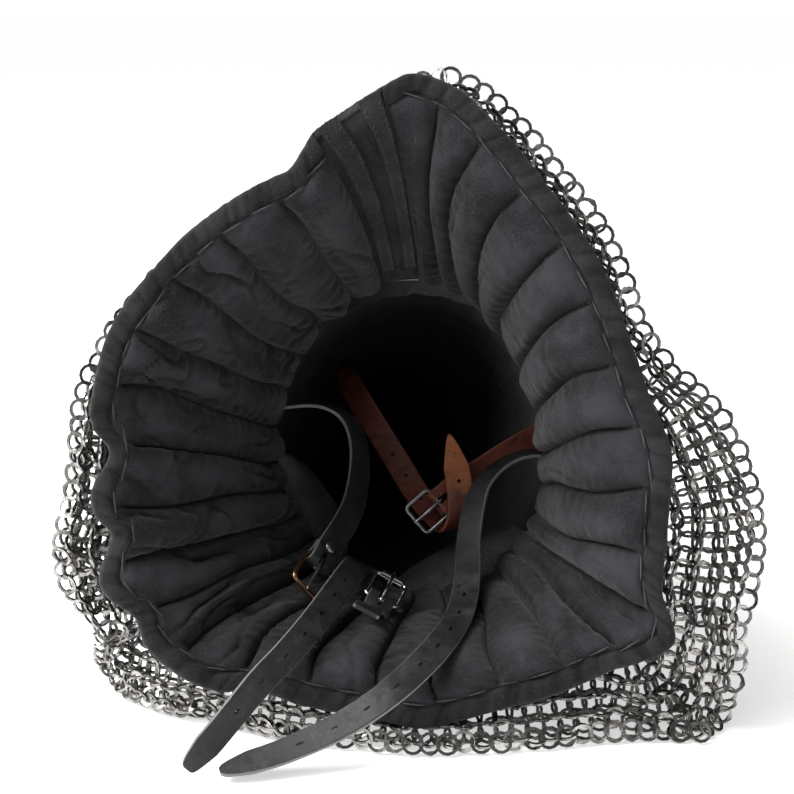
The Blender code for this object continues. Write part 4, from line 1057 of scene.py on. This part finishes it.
def strapRings(centres, across, width):  # rounded section, slightly crowned
    _, side, face = carried(centres, across)
    half = np.broadcast_to(np.asarray(width, float), len(centres)) / 2
    deep = straps["thickness"] / 2
    corner = straps["section"]
    shape = (*corner, (0.0, 1.04, 0.0), *[(-w, d, e) for w, d, e in corner[::-1]],
             *[(-w, -d, e) for w, d, e in corner], (0.0, -1.0, 0.0),
             *[(w, -d, e) for w, d, e in corner[::-1]])
    rings = np.stack([centres + half[:, None] * side * w + face * deep * d for w, d, _ in shape], 1)
    return rings, [e for _, _, e in shape]


def drill(bm, spot, run, side, face, segments, radius, depth):  # a cutter on world axes
    made = bmesh.ops.create_cone(bm, cap_ends=True, segments=segments, radius1=radius, radius2=radius,
                                 depth=depth)
    turn = Matrix([[run[k], side[k], face[k], spot[k]] for k in range(3)] + [[0, 0, 0, 1]])
    bmesh.ops.transform(bm, matrix=turn, verts=made["verts"])


def buildStrap(name, node, centres, across, width, holes=(), holeSize=straps["holeSize"],
               finish="strap", slot="black_strap_leather"):
    rings, edges = strapRings(centres, across, width)
    rings = rings + np.maximum(straps["floor"] - aboveFloor(rings), 0)[..., None] * offGround
    bm = bmesh.new()
    tube(bm, rings, edges=edges)
    piece = finishPiece(name, bm, finish, [node], sharp=55)
    if len(holes):
        run = runAlong(centres)
        at = run[-1] - np.asarray(holes, float)
        forward, side, _ = carried(centres, across)
        ways = unit(readOff(at, run, forward))
        faces = np.cross(ways, unit(readOff(at, run, side)))
        bm = bmesh.new()
        for spot, way, face in zip(place(readOff(at, run, centres)), turnOnly(ways), turnOnly(faces)):
            drill(bm, spot, way * holeSize[0], np.cross(face, way) * holeSize[1], face, 14, 0.0005, 0.009)
        cutWith(piece, closedMesh(bm, "holes"))
        piece.data.set_sharp_from_angle(angle=math.radians(55))
    return piece


def taper(path, tip, power=0.5, over=1.0):  # the width along a strap that narrows to its tip
    run = np.linalg.norm(path[-1, :3] - path[:, :3], axis=1)
    full = straps["width"]
    return np.minimum(full, tip + (full - tip) * (run / full / over) ** power)


def turnSuede(piece, path, reach):  # the flesh side of the end that is folded up shows
    piece.data.materials.append(finishes["suede"])
    spots, faces = place(path[:, :3]), turnOnly(carried(path[:, :3], path[:, 3:])[2])
    run = np.linalg.norm(path[-1, :3] - path[:, :3], axis=1)
    toEye = turnOnly((0.0, -1.0, 0.0))
    for poly in piece.data.polygons:
        near = int(np.argmin(np.linalg.norm(spots - np.array(poly.center), axis=1)))
        away = faces[near] * np.sign(np.dot(faces[near], toEye))
        if run[near] < reach and np.dot(poly.normal, away) > -0.5:
            poly.material_index = 1


def loopedPath(rows, bar, side, returns):
    k = straps
    near, forward, _, across, up = barAxes(bar)
    up = up * side
    loop = k["wire"] + k["loopGap"] + k["thickness"] / 2
    leading = tuple((*(near - forward * back + up * loop), *across) for back in k["lead"])
    path = along(tuple(rows) + leading, k["fineness"])
    turn = [near + loop * (forward * math.sin(t) + up * math.cos(t)) for t in np.linspace(0, math.pi, 13)]
    layers = k["thickness"] + k["gap"]
    back = [near - forward * 5 - up * (loop - 0.5), near - forward * 7.5 - up * (layers - loop + 0.8),
            near - forward * returns - up * (layers - loop)]
    centres = np.vstack([path[:, :3], turn, back])
    ways = np.vstack([path[:, 3:], np.tile(across, (len(turn) + len(back), 1))])
    return centres, ways


def buildLoop(name, node, rows, bar, side=1.0, returns=14.0, **finish):
    # a strap round a buckle's bar and back under itself, slotted there for the tongue
    piece = buildStrap(name, node, *loopedPath(rows, bar, side, returns), straps["width"], **finish)
    near, forward, _, across, up = barAxes(bar)
    bm = bmesh.new()
    long, wide = straps["slotSize"]
    drill(bm, place(near), turnOnly(forward) * long, turnOnly(across) * wide, turnOnly(up),
          20, 0.001, 0.018)
    cutWith(piece, closedMesh(bm, "slot"))


def buildFrame(name, node, finish, bar, body="root"):
    k = straps
    near, forward, long, across, _ = barAxes(bar)
    half = k["width"] / 2 + k["sideGap"] + k["wire"]
    points = []
    for side, far, start in ((-1, 0, 180), (1, 0, 270), (1, 1, 0), (-1, 1, 90)):
        middle = (near + across * (half - k["corner"]) * side
                  + forward * (long - k["corner"] if far else k["corner"]))
        for t in np.radians(start + np.linspace(0, 90, 8)):
            points.append(middle + k["corner"] * (across * math.cos(t) + forward * math.sin(t)))
    bm = bmesh.new()
    tube(bm, wireRings(points, k["wire"], 14, cyclic=True), cyclic=True)
    return finishPiece(name, bm, finish, [node], body=body, sharp=60)


def buildProng(name, node, finish, bar, side=1.0, rise=0.0, body="root"):
    k = straps
    near, forward, long, _, up = barAxes(bar)
    up = up * side
    eye = k["wire"] + k["gap"] + k["prongWire"] + 0.1
    points = [near + eye * (forward * math.cos(t) + up * math.sin(t))
              for t in np.radians(np.linspace(*k["eye"], 25))]
    rest = k["wire"] + k["prongWire"] + k["gap"] + rise
    pin = [(near + forward * long * share + up * (rest + lift)) for share, lift in k["pinRise"]]
    pin.append(near + forward * (long + k["over"]) + up * rest)
    lead = along(np.vstack([points[-2:], pin]), 5)[6:]
    points = np.vstack([points, lead])
    taperEnd = np.ones(len(points)) * k["prongWire"]
    taperEnd[-4:] *= (0.95, 0.85, 0.7, 0.45)
    bm = bmesh.new()
    tube(bm, wireRings(points, taperEnd, 12))
    return finishPiece(name, bm, finish, [node], body=body, sharp=60)


def buildRivet():
    k = straps
    near, forward, _, _, up = barAxes(k["chinBar"])
    top = near - forward * k["rivetBack"] + up * (k["wire"] + k["loopGap"] + k["thickness"] + k["gap"])
    bm = bmesh.new()
    side = unit(np.cross(up, forward))
    turn = np.linspace(0, 2 * math.pi, 25)[:-1, None]
    circle = forward * np.cos(turn) + side * np.sin(turn)
    arc = ((0.35, 0.97), (0.7, 0.8), (0.93, 0.45), (1.0, 0.12), (0.96, 0.0))  # the head's half section
    tube(bm, np.stack([top + k["rivetRadius"] * r * circle + up * h * k["rivetHeight"] for r, h in arc]))
    finishPiece("chinRivet", bm, "wire", ["chin_rivet"], sharp=60)


def buildRoller():
    k = straps
    near, forward, long, across, up = barAxes(k["chromeBar"])
    far = near + forward * long
    turn = np.linspace(0, 2 * math.pi, 25)
    circle = forward * np.cos(turn)[:, None] + up * np.sin(turn)[:, None]
    ends = np.stack([far + across * k["rollerLength"] / 2 * side for side in (-1, -0.5, 0.5, 1)])
    bm = bmesh.new()
    small = k["wire"] + 2 * k["gap"]
    hoopWall(bm, ends[:, None] + circle[None] * small,
             ends[:, None] + circle[None] * (small + k["rollerWall"]))
    finishPiece("chromeRoller", bm, "chrome", ["chrome_roller"], sharp=50)


def buildStraps():
    k = straps
    buildLoop("chinStrapLeft", "chin_strap_left", k["chinLeft"], k["chinBar"])
    buildFrame("chinBuckle", "chin_buckle", "bronze", k["chinBar"], body="chin_buckle")
    buildProng("chinProng", "chin_prong", "wire", k["chinBar"], body="chin_prong")
    buildRivet()
    for name, node, rows, holes in (("chinStrapRight", "chin_strap_right", "chinRight", range(44, 205, 20)),
                                    ("holedStrap", "aventail_strap", "lower", range(40, 161, 20))):
        path = along(k[rows], k["fineness"])
        buildStrap(name, node, path[:, :3], path[:, 3:], taper(path, k["tip"]), holes)
    buildLoop("buckleTab", "buckle_tab", k["tab"], k["chromeBar"], side=-1.0, returns=11.0)
    buildFrame("chromeBuckle", "chrome_buckle", "chrome", k["chromeBar"])
    buildProng("chromeProng", "chrome_prong", "chrome", k["chromeBar"], -1.0,
               2 * k["gap"] + k["rollerWall"])
    buildRoller()

    brown = {"finish": "brown", "slot": "brown_strap_leather"}
    path = along(k["brownLeft"], k["fineness"])
    root = np.linalg.norm(path[0, :3] - path[:, :3], axis=1)
    width = taper(path, tip=1.5, power=0.75, over=1.35) * np.clip(0.25 + root / 28, 0, 1)
    piece = buildStrap("brownHoledStrap", "brown_strap_left", path[:, :3], path[:, 3:], width,
                       (30, 98, 120, 142), (2.6, 2.6), **brown)
    turnSuede(piece, path, 36)
    buildLoop("brownBuckleStrap", "brown_strap_right", k["brownRight"], k["brownBar"], side=-1.0, **brown)
    buildFrame("brownBuckle", "brown_buckle", "wire", k["brownBar"])
    buildProng("brownProng", "brown_prong", "wire", k["brownBar"], -1.0)
    print("straps and buckles made")


buildPadding()
buildHem()
buildClosure()
buildSkull()
buildPads()
buildBand()
buildMail()
buildStraps()

# Floor, light and camera
studio = {"floorSize": 40.0, "horizon": 0.07, "overhead": 1.0, "backdrop": 1.05,
          "floorGlow": 0.55, "sky": 2.0, "skyWidth": 80.0, "skyTurn": (0.9, 0.35, -1.0),
          "lamps": (("keyLight", 72.0, 1.4, (-1.5, -0.45, 1.75)),
                    ("fillLight", 5.0, 2.0, (1.5, -0.9, 1.3))),
          "aim": (0, 0, 0.15), "lens": 82.9, "shift": (0.0189, 0.0038)}


def turnTowards(thing, way):
    thing.rotation_euler = Vector(way).to_track_quat("-Z", "Y").to_euler()


def buildStudio():
    bm = bmesh.new()
    bmesh.ops.create_grid(bm, x_segments=1, y_segments=1, size=studio["floorSize"] / 2)
    mesh = meshFrom(bm, "floor")
    white = Finish("paleFloor", Base_Color=(0.9, 0.9, 0.9, 1), Roughness=0.9, Specular_IOR_Level=0.1,
                   Emission_Color=(1, 1, 1, 1), Emission_Strength=studio["floorGlow"])
    mesh.materials.append(white.material)
    addThing("floor", mesh)

    world = bpy.data.worlds.new("studio")
    world.use_nodes = True
    nodes, links = world.node_tree.nodes, world.node_tree.links
    soft = nodes["Background"]  # brighter towards the top
    where = nodes.new("ShaderNodeTexCoord")
    split = nodes.new("ShaderNodeSeparateXYZ")
    height = nodes.new("ShaderNodeMapRange")
    for key, value in (("From Min", 0.05), ("From Max", 0.8), ("To Min", studio["horizon"]),
                       ("To Max", studio["overhead"])):
        height.inputs[key].default_value = value
    links.new(where.outputs["Generated"], split.inputs[0])
    links.new(split.outputs["Z"], height.inputs["Value"])
    links.new(height.outputs[0], soft.inputs["Strength"])
    bright = nodes.new("ShaderNodeBackground")
    bright.inputs["Color"].default_value = (1, 1, 1, 1)
    bright.inputs["Strength"].default_value = studio["backdrop"]
    path = nodes.new("ShaderNodeLightPath")
    both = nodes.new("ShaderNodeMixShader")
    links.new(path.outputs["Is Camera Ray"], both.inputs[0])
    links.new(soft.outputs[0], both.inputs[1])
    links.new(bright.outputs[0], both.inputs[2])
    links.new(both.outputs[0], nodes["World Output"].inputs[0])
    bpy.context.scene.world = world
    for name, power, size, spot in studio["lamps"]:
        lamp = bpy.data.lights.new(name, "AREA")
        lamp.energy = power
        lamp.size = size
        thing = addThing(name, lamp)
        thing.location = spot
        turnTowards(thing, Vector(studio["aim"]) - Vector(spot))
    sky = bpy.data.lights.new("skyLight", "SUN")
    sky.energy = studio["sky"]
    sky.angle = math.radians(studio["skyWidth"])
    turnTowards(addThing("skyLight", sky), studio["skyTurn"])

    eye = bpy.data.cameras.new("camera")
    eye.lens = studio["lens"]
    eye.sensor_width = 36.0
    eye.shift_x, eye.shift_y = studio["shift"]
    camera = addThing("camera", eye)
    camera.location = place((0.0, -placing["viewReach"], 0.0))
    turnTowards(camera, turnOnly(intoSkull))
    bpy.context.scene.camera = camera
    bpy.context.scene.view_settings.view_transform = "Standard"


buildStudio()
print("scene made")
